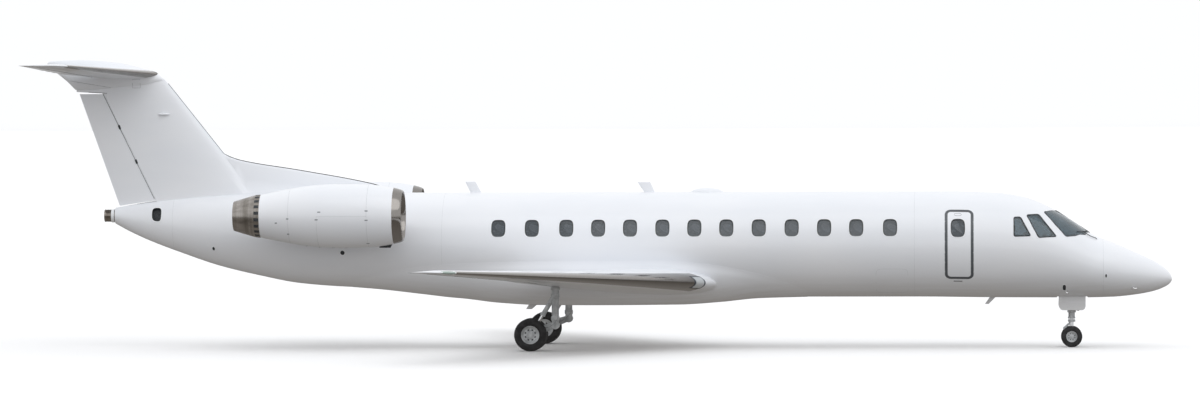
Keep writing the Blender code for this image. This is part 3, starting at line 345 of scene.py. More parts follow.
def shaped(name, mesh, finish, degrees=35):
    """A mesh as a smooth piece of one finish."""
    return smooth(new_object(name, mesh, finish), degrees)


def shade_by(piece, normal_at, agreement=0.85):
    """Gives the faces that lie on a known smooth surface that surface's own normals."""
    data = piece.data
    data.shade_smooth()
    found = [normal_at(v.co) for v in data.vertices]
    normals = [None] * len(data.loops)
    for face in data.polygons:
        own = [found[v] for v in face.vertices]
        on_surface = all(n is not None and n.dot(face.normal) > agreement for n in own)
        for loop, normal in zip(face.loop_indices, own):
            normals[loop] = normal if on_surface else face.normal
    data.normals_split_custom_set(normals)
    return piece


def put(piece, body="root", *replaced, slot=None):
    """Rides a finished piece on its body, in place of the CAD nodes that it stands for."""
    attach(piece, body)
    if replaced:
        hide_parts(*replaced)
    return piece


def new_surface(name, **inputs):
    """A material with its one shader, and the object's own coordinates for its textures."""
    made, tree, shader = new_material(name, **inputs)
    return made, tree, shader, add_node(tree, "ShaderNodeTexCoord").outputs["Object"]


def spread(tree, shader, value, tones=None, overlay=None, gloss=None, bump=None):
    """Leads a texture's value to a shader.

    tones are two (place, colour) stops for its colour, over which overlay lays a second colour by
    an amount. gloss gives a range of the value and the roughness at its ends, and bump the
    strength and distance of its relief.
    """
    if tones:
        tone = add_node(tree, "ShaderNodeValToRGB", {"Fac": value})
        for stop, (stop_place, stop_colour) in zip(tone.color_ramp.elements, tones):
            stop.position, stop.color = stop_place, stop_colour
        colour = tone.outputs["Color"]
        if overlay:
            mixed = add_node(tree, "ShaderNodeMix", {"Factor": overlay[0]}, data_type="RGBA")
            tree.links.new(colour, mixed.inputs[6])
            mixed.inputs[7].default_value = overlay[1]
            colour = mixed.outputs[2]
        tree.links.new(colour, shader.inputs["Base Color"])
    if gloss:
        ends = zip(("From Min", "From Max", "To Min", "To Max"), gloss)
        dull = add_node(tree, "ShaderNodeMapRange", {"Value": value, **dict(ends)})
        tree.links.new(dull.outputs["Result"], shader.inputs["Roughness"])
    if bump:
        relief = add_node(tree, "ShaderNodeBump", {"Height": value, "Strength": bump[0],
                                                   "Distance": bump[1]})
        tree.links.new(relief.outputs["Normal"], shader.inputs["Normal"])


def paint_material():
    """Polyurethane gloss enamel, sprayed white: a slightly cool white with a wet clear gloss,
    faint clouding between sheets and a streaky warm grey that darkens the skin towards the belly."""
    made, tree, shader, place = new_surface("white_polyurethane_enamel", Roughness=0.32, IOR=1.5,
                                            Coat_Weight=0.35, Coat_Roughness=0.06)
    sheets = add_node(tree, "ShaderNodeMapping", {"Vector": place, "Scale": (0.35, 0.9, 0.9)})
    cloud = add_node(tree, "ShaderNodeTexNoise", {"Vector": sheets.outputs["Vector"], "Scale": 1.0,
                                                  "Detail": 3.0})
    streaks = add_node(tree, "ShaderNodeMapping", {"Vector": place, "Scale": (0.5, 7.0, 7.0)})
    film = add_node(tree, "ShaderNodeTexNoise", {"Vector": streaks.outputs["Vector"], "Scale": 1.0,
                                                 "Detail": 5.0, "Roughness": 0.6})
    low = add_node(tree, "ShaderNodeSeparateXYZ", {"Vector": place})
    belly = add_node(tree, "ShaderNodeMapRange", {"Value": low.outputs["Z"], "From Min": 1.75,
                                                  "From Max": 1.15, "To Max": 0.6})
    amount = add_node(tree, "ShaderNodeMath", operation="MULTIPLY")
    tree.links.new(belly.outputs["Result"], amount.inputs[0])
    tree.links.new(film.outputs["Fac"], amount.inputs[1])
    spread(tree, shader, cloud.outputs["Fac"], ((0.35, srgb("#e6e9ee")), (0.65, srgb("#ebedf1"))),
           overlay=(amount.outputs["Value"], srgb("#b3aea6")))
    # Orange peel of the sprayed coat, about 4 mm from crest to crest.
    peel = add_node(tree, "ShaderNodeTexNoise", {"Vector": place, "Scale": 250.0, "Detail": 1.0})
    spread(tree, shader, peel.outputs["Fac"], bump=(0.03, 0.0004))
    return made


paint = paint_material()


def hull_tube(stations, out=0.0, floor=None, triangles=True):
    """A length of hull. With a floor, it ends flat there."""
    rings = []
    for station in stations:
        turns = around(hull_sides)
        if floor is not None:
            _, middle, rise = hull_oval(station)
            widest = math.acos((floor - middle) / (rise + out))
            turns = [widest * (i / 24 - 1) for i in range(49)]
        ring = [hull_point(station, turn, out) for turn in turns]
        rings.append([ring[0]] if station == 0 else ring)
    return loft(rings, triangles=triangles)


def spaced(first, last, step):
    """Stations from first to last, about a step apart."""
    count = max(1, round((last - first) / step))
    return [first + (last - first) * i / count for i in range(count + 1)]


radome_end, cabin_start, cabin_end, cone_start, cone_end = 1.60, 5.95, 16.9, 23.3, 24.71
radome_stations = [(math.sqrt(radome_end - seat_gap) * i / 22) ** 2 for i in range(23)]
put(shaped("radome_shell", hull_tube(radome_stations, triangles=False), paint), "root", "radome",
    slot="white_paint")


class Door:
    """A rounded panel of the hull wall, given by its stations, its heights and its side."""

    def __init__(self, front, back, low, high, side, thickness, corner):
        self.front, self.back, self.side = front, back, side
        self.thickness, self.corner = thickness, corner
        self.middle = (front + back) / 2
        self.top_turn = hull_turn(self.middle, high)
        self.low_turn = hull_turn(self.middle, low)

    def rows(self, extra=0.0):
        """(turn, front, back) down the panel, with quarter circles at its corners."""
        radius = self.corner + extra
        top, low = self.top_turn - extra / tube_radius, self.low_turn + extra / tube_radius
        made = [(radius * (1 - math.cos(a)) / tube_radius, radius * (1 - math.sin(a)))
                for a in (math.pi / 2 * i / 8 for i in range(9))]
        upper = [(top + drop, inset) for drop, inset in made]
        lower = [(low - drop, inset) for drop, inset in reversed(made)]
        gap = lower[0][0] - upper[-1][0]
        middle = [(upper[-1][0] + gap * i / 12, 0.0) for i in range(1, 12)]
        return [(turn, self.front - extra + inset, self.back + extra - inset)
                for turn, inset in upper + middle + lower]

    def solid(self, extra=0.0, out=0.0, deep=0.0):
        """The panel, or a cutter for its opening that is larger by extra, out and deep."""
        rings = []
        for turn, front, back in self.rows(extra):
            stations = [front + (back - front) * i / 6 for i in range(7)]
            outer = [hull_point(s, self.side * turn, out) for s in stations]
            inner = [hull_point(s, self.side * turn, -self.thickness - deep) for s in stations]
            rings.append(outer + inner[::-1])
        return loft(rings, triangles=True)

    def outline(self, extra=0.0):
        """(station, turn) all the way round."""
        rows = self.rows(extra)
        (top, front, back), (low, low_front, low_back) = rows[0], rows[-1]
        points = [(s, t) for t, _, s in rows]
        points += [(low_back + (low_front - low_back) * i / 10, low) for i in range(1, 10)]
        points += [(s, t) for t, s, _ in reversed(rows)]
        points += [(front + (back - front) * i / 10, top) for i in range(1, 10)]
        return [(s, self.side * t) for s, t in points]


airstair = Door(4.50, 5.25, 1.63, 3.31, 1, wall, 0.10)
service = Door(4.60, 5.24, 1.62, 3.20, -1, wall, 0.13)
baggage = Door(17.05, 18.05, 2.12, 2.95, 1, 0.06, 0.08)


def pane_corners():
    """The left cockpit panes. The points that aren't corners keep a long edge straight."""
    def high(station, height, corner=True):
        return (station, hull_turn(station, height), corner)

    def wide(station, width):
        return (station, math.asin(width / hull_half(station)), True)
    aft = [high(3.66, 3.035), high(3.51, 3.04), high(3.392, 2.822, False), high(3.274, 2.604),
           high(3.66, 2.597), high(3.66, 2.816, False)]
    side = [high(3.367, 3.083), high(3.09, 3.095), high(2.885, 2.84, False), high(2.68, 2.584),
            high(3.09, 2.564), high(3.229, 2.824, False)]
    shield = [high(2.96, 3.14), wide(2.66, 0.05), wide(1.90, 0.05), high(2.02, 2.62, False),
              high(2.26, 2.60, False), high(2.456, 2.584), high(2.708, 2.862, False)]
    return {"cockpit_window_aft": aft, "cockpit_window_side": side, "windshield": shield}


def pane_outline(pane):
    """A closed outline of (station, turn) points with its corners rounded."""
    rounding, points = 0.045, []
    for i, (station, turn, rounded) in enumerate(pane):
        here = np.array((station, turn))
        before = np.array(pane[i - 1][:2]) - here
        after = np.array(pane[(i + 1) % len(pane)][:2]) - here
        if not rounded:
            points.append(here)
            continue
        first = here + before * min(0.45, rounding / np.linalg.norm(before))
        last = here + after * min(0.45, rounding / np.linalg.norm(after))
        for t in (0.0, 0.2, 0.4, 0.6, 0.8, 1.0):
            points.append((1 - t) ** 2 * first + 2 * t * (1 - t) * here + t * t * last)
    return points


def pane_prism(pane, side, shrink=0.0):
    """A prism through the wall with a pane's outline, square to the hull at its middle."""
    outline = pane_outline(pane)
    middle = sum(outline) / len(outline)
    direction = hull_normal(hull_point(float(middle[0]), float(middle[1])))
    outer, inner = [], []
    for point in outline:
        reach = point - middle
        point = middle + reach * (1 - shrink / np.linalg.norm(reach))
        place = hull_point(float(point[0]), float(point[1]))
        outer.append(place + direction * 0.4)
        inner.append(place - direction * 0.26)
    rings = [[Vector((p.x, side * p.y, p.z)) for p in ring] for ring in (outer, inner)]
    return loft(rings, triangles=True)


def block(low, high):
    """A plain box, for a cutter."""
    (x0, y0, z0), (x1, y1, z1) = low, high
    return loft([[(x0, y0, z), (x1, y0, z), (x1, y1, z), (x0, y1, z)] for z in (z0, z1)])


nose_bay_half, nose_bay_top = 0.25, 1.52
shell = new_object("forward_fuselage_shell", hull_tube(spaced(radome_end, cabin_start, 0.12)),
                   paint)
rooms = [hull_tube([1.86, 2.1, 2.4, 2.8, 3.3, 3.95], -wall, cabin_floor),
         hull_tube([4.0, 4.6, cabin_start + 0.05], -wall, cabin_floor),
         block((nose_x - 4.2, -0.28, cabin_floor + 0.02), (nose_x - 3.8, 0.28, 3.42)),
         block((nose_x - 2.66, -nose_bay_half, 0.9), (nose_x - 1.95, nose_bay_half, nose_bay_top)),
         airstair.solid(extra=running_gap, out=0.1, deep=0.15),
         service.solid(extra=0.004, out=0.1, deep=0.15)]
panes = pane_corners()
rooms += [pane_prism(pane, side) for pane in panes.values() for side in (1, -1)]
cut(shell, *rooms)


def put_hull(piece, node, body="root"):
    """Puts a white piece of the hull in place, shaded by the hull's own shape."""
    return put(shade_by(piece, hull_normal), body, node, slot="white_paint")


put_hull(shell, "forward_fuselage")

window_stations = [6.51, 7.29, 8.03, 8.78, 9.54, 10.29, 11.03, 11.77, 12.52, 13.26, 14.00, 14.80,
                   15.58]
window_height, window_width, window_z = 0.42, 0.33, 2.81
window_depth = 0.060


def rounded(wide, tall, grow=0.0, bow=0.62, count=40):
    """(across, along) points of a rounded rectangle with softly bowed sides."""
    return [[math.copysign(abs(f) ** bow, f) * (size / 2 + grow)
             for f, size in ((math.cos(a), wide), (math.sin(a), tall))] for a in around(count)]


def window_outline(station, side, grow=0.0, z=window_z):
    """A cabin window's rounded outline: (station, turn) points."""
    middle = hull_turn(station, z)
    return [(station + across, side * (middle + along / tube_radius))
            for across, along in rounded(window_width, window_height, grow)]


def outline_prism(outline, low, high):
    """A solid with an outline of (station, turn) points, between two heights off the skin."""
    return loft([[hull_point(s, t, level) for s, t in outline] for level in (low, high)],
                triangles=True)


def merged(meshes):
    """Several closed meshes as one."""
    whole = bmesh.new()
    for mesh in meshes:
        scratch = bpy.data.meshes.new("part")
        mesh.to_mesh(scratch)
        mesh.free()
        whole.from_mesh(scratch)
    return whole


cabin = new_object("cabin_fuselage_shell", hull_tube(
    [cabin_start + seat_gap] + spaced(6.1, 15.5, 0.4) + spaced(15.7, cabin_end - seat_gap, 0.15)),
    paint)
cut(cabin, merged(outline_prism(window_outline(station, side), -window_depth, 0.03)
                  for station in window_stations for side in (1, -1)))
put_hull(cabin, "cabin_fuselage")

rear = new_object("rear_fuselage_shell", hull_tube(
    spaced(cabin_end, cone_start - seat_gap, 0.14)), paint)
cut(rear, baggage.solid(extra=0.004, out=0.1, deep=0.004))
put_hull(rear, "rear_fuselage")

cone = new_object("tail_cone_shell", hull_tube(spaced(cone_start, cone_end, 0.1)), paint)


def turned(profile, centre, axis, sides, closed=False):
    """A profile of (distance along, radius) turned about an axis through centre."""
    along = Vector(axis).normalized()
    across = Vector((1, 0, 0)) if abs(along.z) > 0.9 else Vector((0, 0, 1))
    across = (across - along * across.dot(along)).normalized()
    third = along.cross(across)
    rings = []
    for distance, radius in profile:
        middle = Vector(centre) + along * distance
        rings.append([middle + radius * (math.cos(a) * across + math.sin(a) * third)
                      for a in around(sides)] if radius else [middle])
    return loft(rings, closed)


backwards = (-1, 0, 0)
pipe_middle, pipe_radius = spot(24.42, 0, 3.10), 0.148
bore = turned([(0, 0), (0, pipe_radius + 0.002), (1, pipe_radius + 0.002), (1, 0)], pipe_middle,
              backwards, 48)
inlet_depth = 0.16


def rounded_outline(station, z, side, wide, tall, grow=0.0, bow=0.62, count=40):
    """A rounded rectangle on the hull as (station, turn) points."""
    middle, step = hull_turn(station, z), 0.01
    rate = (hull_turn(station, z + step) - hull_turn(station, z - step)) / (2 * step)
    return [(station + across, side * (middle - along * rate))
            for across, along in rounded(wide, tall, grow, bow, count)]


def inlet_outline(grow=0.0):
    """The auxiliary power unit's rounded inlet in the right side of the cone."""
    return rounded_outline(23.685, 3.14, -1, 0.225, 0.315, grow)


cut(cone, bore, outline_prism(inlet_outline(), -inlet_depth, 0.05))
put_hull(cone, "tail_cone")


# Repeated pieces and beads
# Windows, bolts, slots and seams repeat along the aircraft. One tree sets a piece at every
# point, another draws a round bead along a line, and each result becomes a plain mesh.

def group_tree(name, inputs):
    """An empty geometry tree with named inputs and one geometry output."""
    made = bpy.data.node_groups.new(name, "GeometryNodeTree")
    for label, kind in inputs:
        made.interface.new_socket(label, in_out="INPUT", socket_type="NodeSocket" + kind)
    made.interface.new_socket("Result", in_out="OUTPUT", socket_type="NodeSocketGeometry")
    return made, add_node(made, "NodeGroupInput")


def end_tree(tree, geometry, finish):
    """Ends a tree: its copies become real, take on their finish and leave it."""
    real = add_node(tree, "GeometryNodeRealizeInstances", {"Geometry": geometry})
    dressed = add_node(tree, "GeometryNodeSetMaterial", {"Geometry": real.outputs["Geometry"],
                                                         "Material": finish})
    add_node(tree, "NodeGroupOutput", {"Result": dressed.outputs["Geometry"]})


repeat_tree, given = group_tree("repeat_piece", [("Places", "Geometry"), ("Piece", "Object"),
                                                 ("Finish", "Material")])
source = add_node(repeat_tree, "GeometryNodeObjectInfo", {"Object": given.outputs["Piece"]})
turn = add_node(repeat_tree, "GeometryNodeInputNamedAttribute", {"Name": "turn"},
                data_type="FLOAT_VECTOR")
spin = add_node(repeat_tree, "FunctionNodeEulerToRotation", {"Euler": turn.outputs["Attribute"]})
placed = add_node(repeat_tree, "GeometryNodeInstanceOnPoints", {
    "Points": given.outputs["Places"], "Instance": source.outputs["Geometry"],
    "Rotation": spin.outputs["Rotation"]})
end_tree(repeat_tree, placed.outputs["Instances"], given.outputs["Finish"])

bead_tree, given = group_tree("bead_along_line", [("Line", "Geometry"), ("Radius", "Float"),
                                                  ("Sides", "Int"), ("Finish", "Material")])
path = add_node(bead_tree, "GeometryNodeMeshToCurve", {"Mesh": given.outputs["Line"]})
section_circle = add_node(bead_tree, "GeometryNodeCurvePrimitiveCircle", {
    "Resolution": given.outputs["Sides"], "Radius": given.outputs["Radius"]})
swept = add_node(bead_tree, "GeometryNodeCurveToMesh", {
    "Curve": path.outputs["Curve"], "Profile Curve": section_circle.outputs["Curve"],
    "Fill Caps": True})
end_tree(bead_tree, swept.outputs["Mesh"], given.outputs["Finish"])


def run_tree(tree, carrier, inputs):
    """Runs a geometry tree on an object and keeps the result as its plain mesh."""
    step = carrier.modifiers.new("tree", "NODES")
    step.node_group = tree
    for item in tree.interface.items_tree:
        if item.name in inputs:
            step[item.identifier] = inputs[item.name]
    return bake(carrier)


def repeated(name, piece, places, finish, degrees=35):
    """Copies of a piece at (point, rotation matrix) places, as one mesh. The piece is used up."""
    points = bpy.data.meshes.new(name)
    points.from_pydata([tuple(point) for point, _ in places], [], [])
    turns = points.attributes.new("turn", "FLOAT_VECTOR", "POINT")
    turns.data.foreach_set("vector", [a for _, turn in places for a in turn.to_euler()])
    piece.data.materials.clear()
    piece.data.materials.append(finish)
    made = run_tree(repeat_tree, new_object(name, points), {"Piece": piece, "Finish": finish})
    bpy.data.objects.remove(piece, do_unlink=True)
    return smooth(made, degrees)


def bead(name, lines, radius, finish, sides=8, closed=True):
    """A round bead along each line of points, as one mesh."""
    points, edges = [], []
    for line in lines:
        first = len(points)
        points += [tuple(p) for p in line]
        edges += [(first + i, first + i + 1) for i in range(len(line) - 1)]
        if closed:
            edges.append((first + len(line) - 1, first))
    data = bpy.data.meshes.new(name)
    data.from_pydata(points, edges, [])
    made = run_tree(bead_tree, new_object(name, data), {"Radius": radius, "Sides": sides,
                                                        "Finish": finish})
    return smooth(made, 60)


def on_hull(outline, out=0.0):
    """The points of the skin at (station, turn) places."""
    return [hull_point(s, t, out) for s, t in outline]


def band(name, inner, outer, height, depth, finish):
    """A flat strip between two outlines of the hull, standing a little proud of the skin."""
    rings = [[hull_point(*a, -depth), hull_point(*a, height), hull_point(*b, height),
              hull_point(*b, -depth)] for a, b in zip(inner, outer)]
    return shaped(name, loft(rings, closed=True), finish, 30)


# Cabin windows
# Stretched acrylic panes set in forged aluminium frames, with a pale plastic shade behind.
# The frame shows as a thin bright rim, the pane as smoke grey with a painted shadow under its head.
frame_rim, frame_proud = 0.014, 0.0025


def clouded_material(name, pale, dark, roughness=0.42, metallic=0.0, scale=7.0):
    """Enamel, moulded plastic, sealant or dull metal: even from afar, with soft clouds of tone and
    gloss close to, left by hands, weather and a thin film of dirt."""
    made, tree, shader, place = new_surface(name, Roughness=roughness, Metallic=metallic)
    film = add_node(tree, "ShaderNodeTexNoise", {"Vector": place, "Scale": scale, "Detail": 6.0})
    spread(tree, shader, film.outputs["Fac"], ((0.35, srgb(dark)), (0.62, srgb(pale))),
           gloss=(0.3, 0.7, 1.4 * roughness, 0.85 * roughness))
    return made


frame_paint = clouded_material("satin_window_frame_enamel", "#f2f4f6", "#eaedf0", 0.3)
# The same dark sealant also stands in for shade: at the windows' heads, in the inlet and the
# exhaust's bore, in the nozzle slots and wheel holes, and under the rudder's foot.
sealant_and_shade = clouded_material("polysulphide_sealant", "#383c40", "#24272a", 0.6, scale=40.0)


def pane_material(name, tint, roughness=0.03):
    """Cast acrylic or glass: clear with a tint, a hard gloss and faint wiping marks."""
    made, tree, shader, place = new_surface(name, Base_Color=srgb(tint), Roughness=roughness,
                                            IOR=1.5, Transmission_Weight=0.85)
    marks = add_node(tree, "ShaderNodeTexNoise", {"Vector": place, "Scale": 6.0, "Detail": 4.0})
    spread(tree, shader, marks.outputs["Fac"], gloss=(0.45, 0.8, roughness, roughness + 0.04))
    return made


cabin_acrylic = pane_material("smoke_grey_acrylic", "#8d959b")
shade_plastic = clouded_material("moulded_shade_plastic", "#a8aeb3", "#999fa4", 0.55, scale=12.0)

window_frame = band("window_frame", window_outline(nose_x, -1),
                    window_outline(nose_x, -1, frame_rim), frame_proud, 0.004, frame_paint)
# The seal's inner edge sits 15 mm low, so it is deep at the window's head and thin at its foot: at
# the head it paints the shadow under the frame.
window_seal = band("window_seal", window_outline(nose_x, -1, -0.019, window_z - 0.015),
                   window_outline(nose_x, -1, -0.0005), -0.0015, 0.012, sealant_and_shade)
window_pane = new_object("window_pane", outline_prism(
    window_outline(nose_x, -1, -0.0095), -0.011, -0.005))
window_shade = new_object("window_shade", outline_prism(
    window_outline(nose_x, -1, -0.001), -window_depth + 0.001, -window_depth + 0.006))
window_places = [(spot(station, 0, 0), Matrix.Rotation(turn, 3, "Z"))
                 for station in window_stations for turn in (math.pi, 0)]
for name, piece, finish, degrees in (("cabin_window_frames", window_frame, frame_paint, 30),
                                     ("cabin_window_seals", window_seal, sealant_and_shade, 30),
                                     ("cabin_window_panes", window_pane, cabin_acrylic, 60),
                                     ("cabin_window_shades", window_shade, shade_plastic, 60)):
    put(repeated(name, piece, window_places, finish, degrees))


# Service door
# A plug door of pressed aluminium on the right, outlined on the outside in dark grey for
# rescuers, with its own window, a flush handle and a small foot scuff strip.
marking = clouded_material("dark_grey_marking_enamel", "#565a5e", "#4b4f53", 0.35, scale=5.0)
door_panel = new_object("service_door_panel", service.solid(), paint)
marking_width = 0.066


def door_window(grow=0.0, z=2.80):
    """The outline of the service door's window."""
    return rounded_outline(4.95, z, -1, window_width, window_height, grow)


cut(door_panel, outline_prism(door_window(), -0.05, 0.03))
put_hull(door_panel, "service_door")
put(band("service_door_marking", service.outline(-marking_width + 0.012), service.outline(0.012),
         0.0012, 0.0, marking))
put(band("service_door_window_frame", door_window(), door_window(frame_rim), frame_proud, 0.004,
         frame_paint))
# Its seal is likewise deep at the head, where it paints the shadow under the frame.
put(band("service_door_window_seal", door_window(-0.019, 2.785), door_window(-0.0005), -0.0015,
         0.012, sealant_and_shade))
put(new_object("service_door_pane", outline_prism(door_window(-0.0095), -0.011, -0.005),
               cabin_acrylic))
put(new_object("service_door_shade", outline_prism(door_window(-0.001), -0.049, -0.044),
               shade_plastic))
put(bead("service_door_handle_recess", [on_hull(rounded_outline(4.95, 3.10, -1, 0.16, 0.05))],
         0.0025, sealant_and_shade))
put(bead("service_door_sill_strip", [on_hull([(4.85 + 0.02 * i, -hull_turn(4.9, 1.56))
                                             for i in range(11)], 0.001)], 0.009, sealant_and_shade,
         closed=False))


# Cockpit windows
# Heated laminated glass in riveted frames. The outer ply is bluish grey, a black seal runs
# round each pane, and the frames between them are painted with the hull.
windshield_glass = pane_material("heated_laminated_glass", "#87979f")
glass_thickness = 0.03


def band_normal(point):
    """The hull's outward direction, also through the thickness of the glass."""
    return hull_normal(point, tolerance=0.045)


band_stations = spaced(radome_end, 3.95, 0.12)
glass_blank = new_object("glass_blank", hull_tube(band_stations))
cut(glass_blank, hull_tube([radome_end - 0.01] + band_stations[1:-1] + [3.96], -glass_thickness))
pane_lines = []
for name, pane in panes.items():
    for side, word in ((1, "left"), (-1, "right")):
        glazing = new_object(f"{name}_{word}_pane", glass_blank.data.copy(), windshield_glass)
        cut(glazing, pane_prism(pane, side, 0.001), operation="INTERSECT")
        put(shade_by(glazing, band_normal, 0.6), "root", f"{name}_{word}", slot="cockpit_glass")
        pane_lines.append([hull_point(float(s), side * float(t), 0.0005)
                           for s, t in pane_outline(pane)])
bpy.data.objects.remove(glass_blank, do_unlink=True)
put(bead("cockpit_window_seals", pane_lines, 0.012, sealant_and_shade))


# Airstair door
# The passenger door on the left is its own stair: pressed steps on the inside of a curved
# panel that swings down on a hinge along its sill.
stair_panel = new_object("airstair_door_panel", airstair.solid(), paint)
low_turn, tread_gap = airstair.low_turn, 0.09
tread_reach, tread_half = 0.20, 0.015
swing = math.radians(135)
treads = []
slope = Vector((0, -math.sin(swing), -math.cos(swing)))
for i in range(5):
    foot = hull_point(airstair.middle,
                      low_turn + (airstair.top_turn - low_turn) * (0.13 + 0.175 * i), -wall + 0.02)
    across = Vector((0, slope.z, -slope.y)) * tread_half
    outline = [foot - across, foot + across, foot + slope * tread_reach + across,
               foot + slope * tread_reach - across]
    treads.append(loft([[spot(station, p.y, p.z) for p in outline]
                        for station in (airstair.back - tread_gap, airstair.front + tread_gap)]))
tread_material = clouded_material("anodised_tread_plate", "#76797c", "#616467", 0.5, 0.7)
put_hull(stair_panel, "airstair_door", "airstair")
put(new_object("airstair_treads", merged(treads), tread_material), "airstair")
put(band("airstair_door_marking", airstair.outline(-marking_width + 0.004),
         airstair.outline(-0.002), 0.0012, 0.0, marking), "airstair")
put(bead("airstair_handle_recess", [on_hull(rounded_outline(4.87, 2.45, 1, 0.20, 0.09))], 0.0025,
         sealant_and_shade), "airstair")


# Baggage door
# A flush panel of pressed aluminium low on the left rear of the hull. It closes on a seal that
# shows as a thin dark line round it.
baggage_panel = new_object("baggage_door_panel", baggage.solid(), paint)
put_hull(baggage_panel, "baggage_door")
put(bead("baggage_door_seam", [on_hull(baggage.outline(0.002), -0.0005)], 0.003, sealant_and_shade))


# Wing to body fairing
# Glass fibre panels that blend the wing's centre section into the belly of the hull. They are
# screwed on over the joint and painted with the hull.
fairing_bulge = smooth_line([(8.45, 0.0015), (9.56, 0.028), (10.49, 0.10), (11.43, 0.145),
                             (13.3, 0.155), (14.7, 0.15), (15.65, 0.11), (16.6, 0.05), (17.5, 0.04),
                             (18.5, 0.02), (19.1, 0.0015)])
fairing_edge = smooth_line([(8.45, 1.33), (9.22, 1.635), (9.91, 1.82), (10.75, 1.97), (11.79, 2.05),
                            (13.38, 2.045), (15.15, 2.03), (16.79, 1.97), (18.2, 1.78),
                            (19.1, 1.52)])


def fairing_point(station, across):
    """A point of the fairing. across runs from -1 at its right edge to 1 at its left edge, where it
    thins out smoothly over the last tenth."""
    share, bulge = abs(across), fairing_bulge(station)
    edge_turn = hull_turn(station, fairing_edge(station))
    thin = min(1.0, (1 - share) / 0.12)
    swell = bulge * (1 - share ** 2) + 0.85 * bulge * math.sin(math.pi * share)
    swell = swell * thin ** 0.6 + 0.0015
    return hull_point(station, math.pi + across * (math.pi - edge_turn), swell)


fairing_rings = []
for station in spaced(8.45, 19.1, 0.16):
    outer = [fairing_point(station, i / 36) for i in range(-36, 37)]
    inner = [hull_point(station, math.pi + i / 36 * (math.pi - hull_turn(
        station, fairing_edge(station))), -0.02) for i in range(36, -37, -1)]
    fairing_rings.append(outer + inner)
put(shaped("wing_body_fairing_skin", loft(fairing_rings), paint, 60), "root", "wing_body_fairing",
    slot="white_paint")


# Wings
# Built-up aluminium wings with thick rolled skins. Each has a polished leading edge strip, a
# spoiler let into its upper skin, two flaps and an aileron, all painted but for the strip.
span = 20.04
wing_root_y, wing_kink_y, wing_tip_y = 0.75, 4.0, 9.66
wing_curve_y, tip_rounding = 9.75, 0.28
leading_at_centre, leading_sweep = 9.918, 0.601
trailing_line = [(0, 15.0), (wing_kink_y, 15.26), (span / 2, 16.72)]
wing_z_at_centre, wing_rise = 1.463, 0.0573
leading_strip, inner_flap_front, flap_front, aileron_hinge = 0.085, 0.80, 0.72, 0.745
aileron_in_y, aileron_out_y, flap_root_y = 7.16, 9.60, 1.40
spoiler_sizes = dict(inner=4.30, outer=6.60, front=0.585, back=0.70, depth=0.028)


def half_thickness(fraction, ratio):
    """Half the thickness of a closed aerofoil, as a share of its chord."""
    f = fraction
    return 5 * ratio * (0.2969 * math.sqrt(f) - 0.1260 * f - 0.3516 * f ** 2
                        + 0.2843 * f ** 3 - 0.1036 * f ** 4) + 0.0012 * f


def wing_trailing(y):
    """The station of the wing's trailing edge."""
    return float(np.interp(y, *zip(*trailing_line)))


def wing_leading(y):
    """The station of the wing's leading edge, which curves back over the tip."""
    return leading_at_centre + leading_sweep * y + 3.2 * max(0.0, y - wing_curve_y) ** 2


def thickness_ratio(y, root, loss, half_span, curve_y):
    """A section's thickness as a share of its chord: less outwards, and rounded off at the tip."""
    ratio = root - loss * y / half_span
    return ratio * math.sqrt(max(0.04, 1 - max(0.0, (y - curve_y) / tip_rounding) ** 2))


def wing_point(y, fraction, side):
    """A point of the left wing. side is 1 on the upper skin, -1 on the lower, 0 between them."""
    start, chord = wing_leading(y), wing_trailing(y) - wing_leading(y)
    ratio = thickness_ratio(y, 0.135, 0.030, span / 2, wing_curve_y)
    camber = 0.045 * fraction * (1 - fraction)
    lift = chord * (camber + side * half_thickness(fraction, ratio))
    return Vector((nose_x - start - chord * fraction, y, wing_z_at_centre + wing_rise * y + lift))


def aerofoil_normal(point_at, span_axis, tolerance=0.004):
    """The outward direction of a wing or tail surface at a point on it, or None off it."""
    def signed(at, r):
        return point_at(at, min(r * r, 1.0), 1 if r >= 0 else -1)

    def normal(point):
        at = abs(point[span_axis])
        point = Vector((point.x, abs(point.y), point.z)) if span_axis == 1 else point
        nose, tail = point_at(at, 0, 0), point_at(at, 1, 0)
        fraction = min(max((nose.x - point.x) / (nose.x - tail.x), 0), 1)
        gaps = [((point_at(at, fraction, side) - point).length, side) for side in (1, -1)]
        gap, side = min(gaps)
        if gap > tolerance or fraction > 0.999:
            return None
        r, step = side * math.sqrt(fraction), 0.004
        along = signed(at, r + step) - signed(at, r - step)
        across = signed(at + 0.01, r) - signed(at - 0.01, r)
        found = along.cross(across).normalized()
        outward = point - point_at(at, fraction, 0) + Vector((0.001, 0, 0))
        return found if found.dot(outward) > 0 else -found
    return normal


def mirrored_normal(normal_at):
    """The same directions for the right-hand copy of a left-hand piece."""
    def normal(point):
        found = normal_at(point)
        if found is None or point.y >= 0:
            return found
        return Vector((found.x, -found.y, found.z))
    return normal


wing_normal = mirrored_normal(aerofoil_normal(wing_point, 1))
chord_places = [(1 - math.cos(math.pi * i / 40)) / 2 for i in range(40, -1, -1)]
rear_wall_points = 5


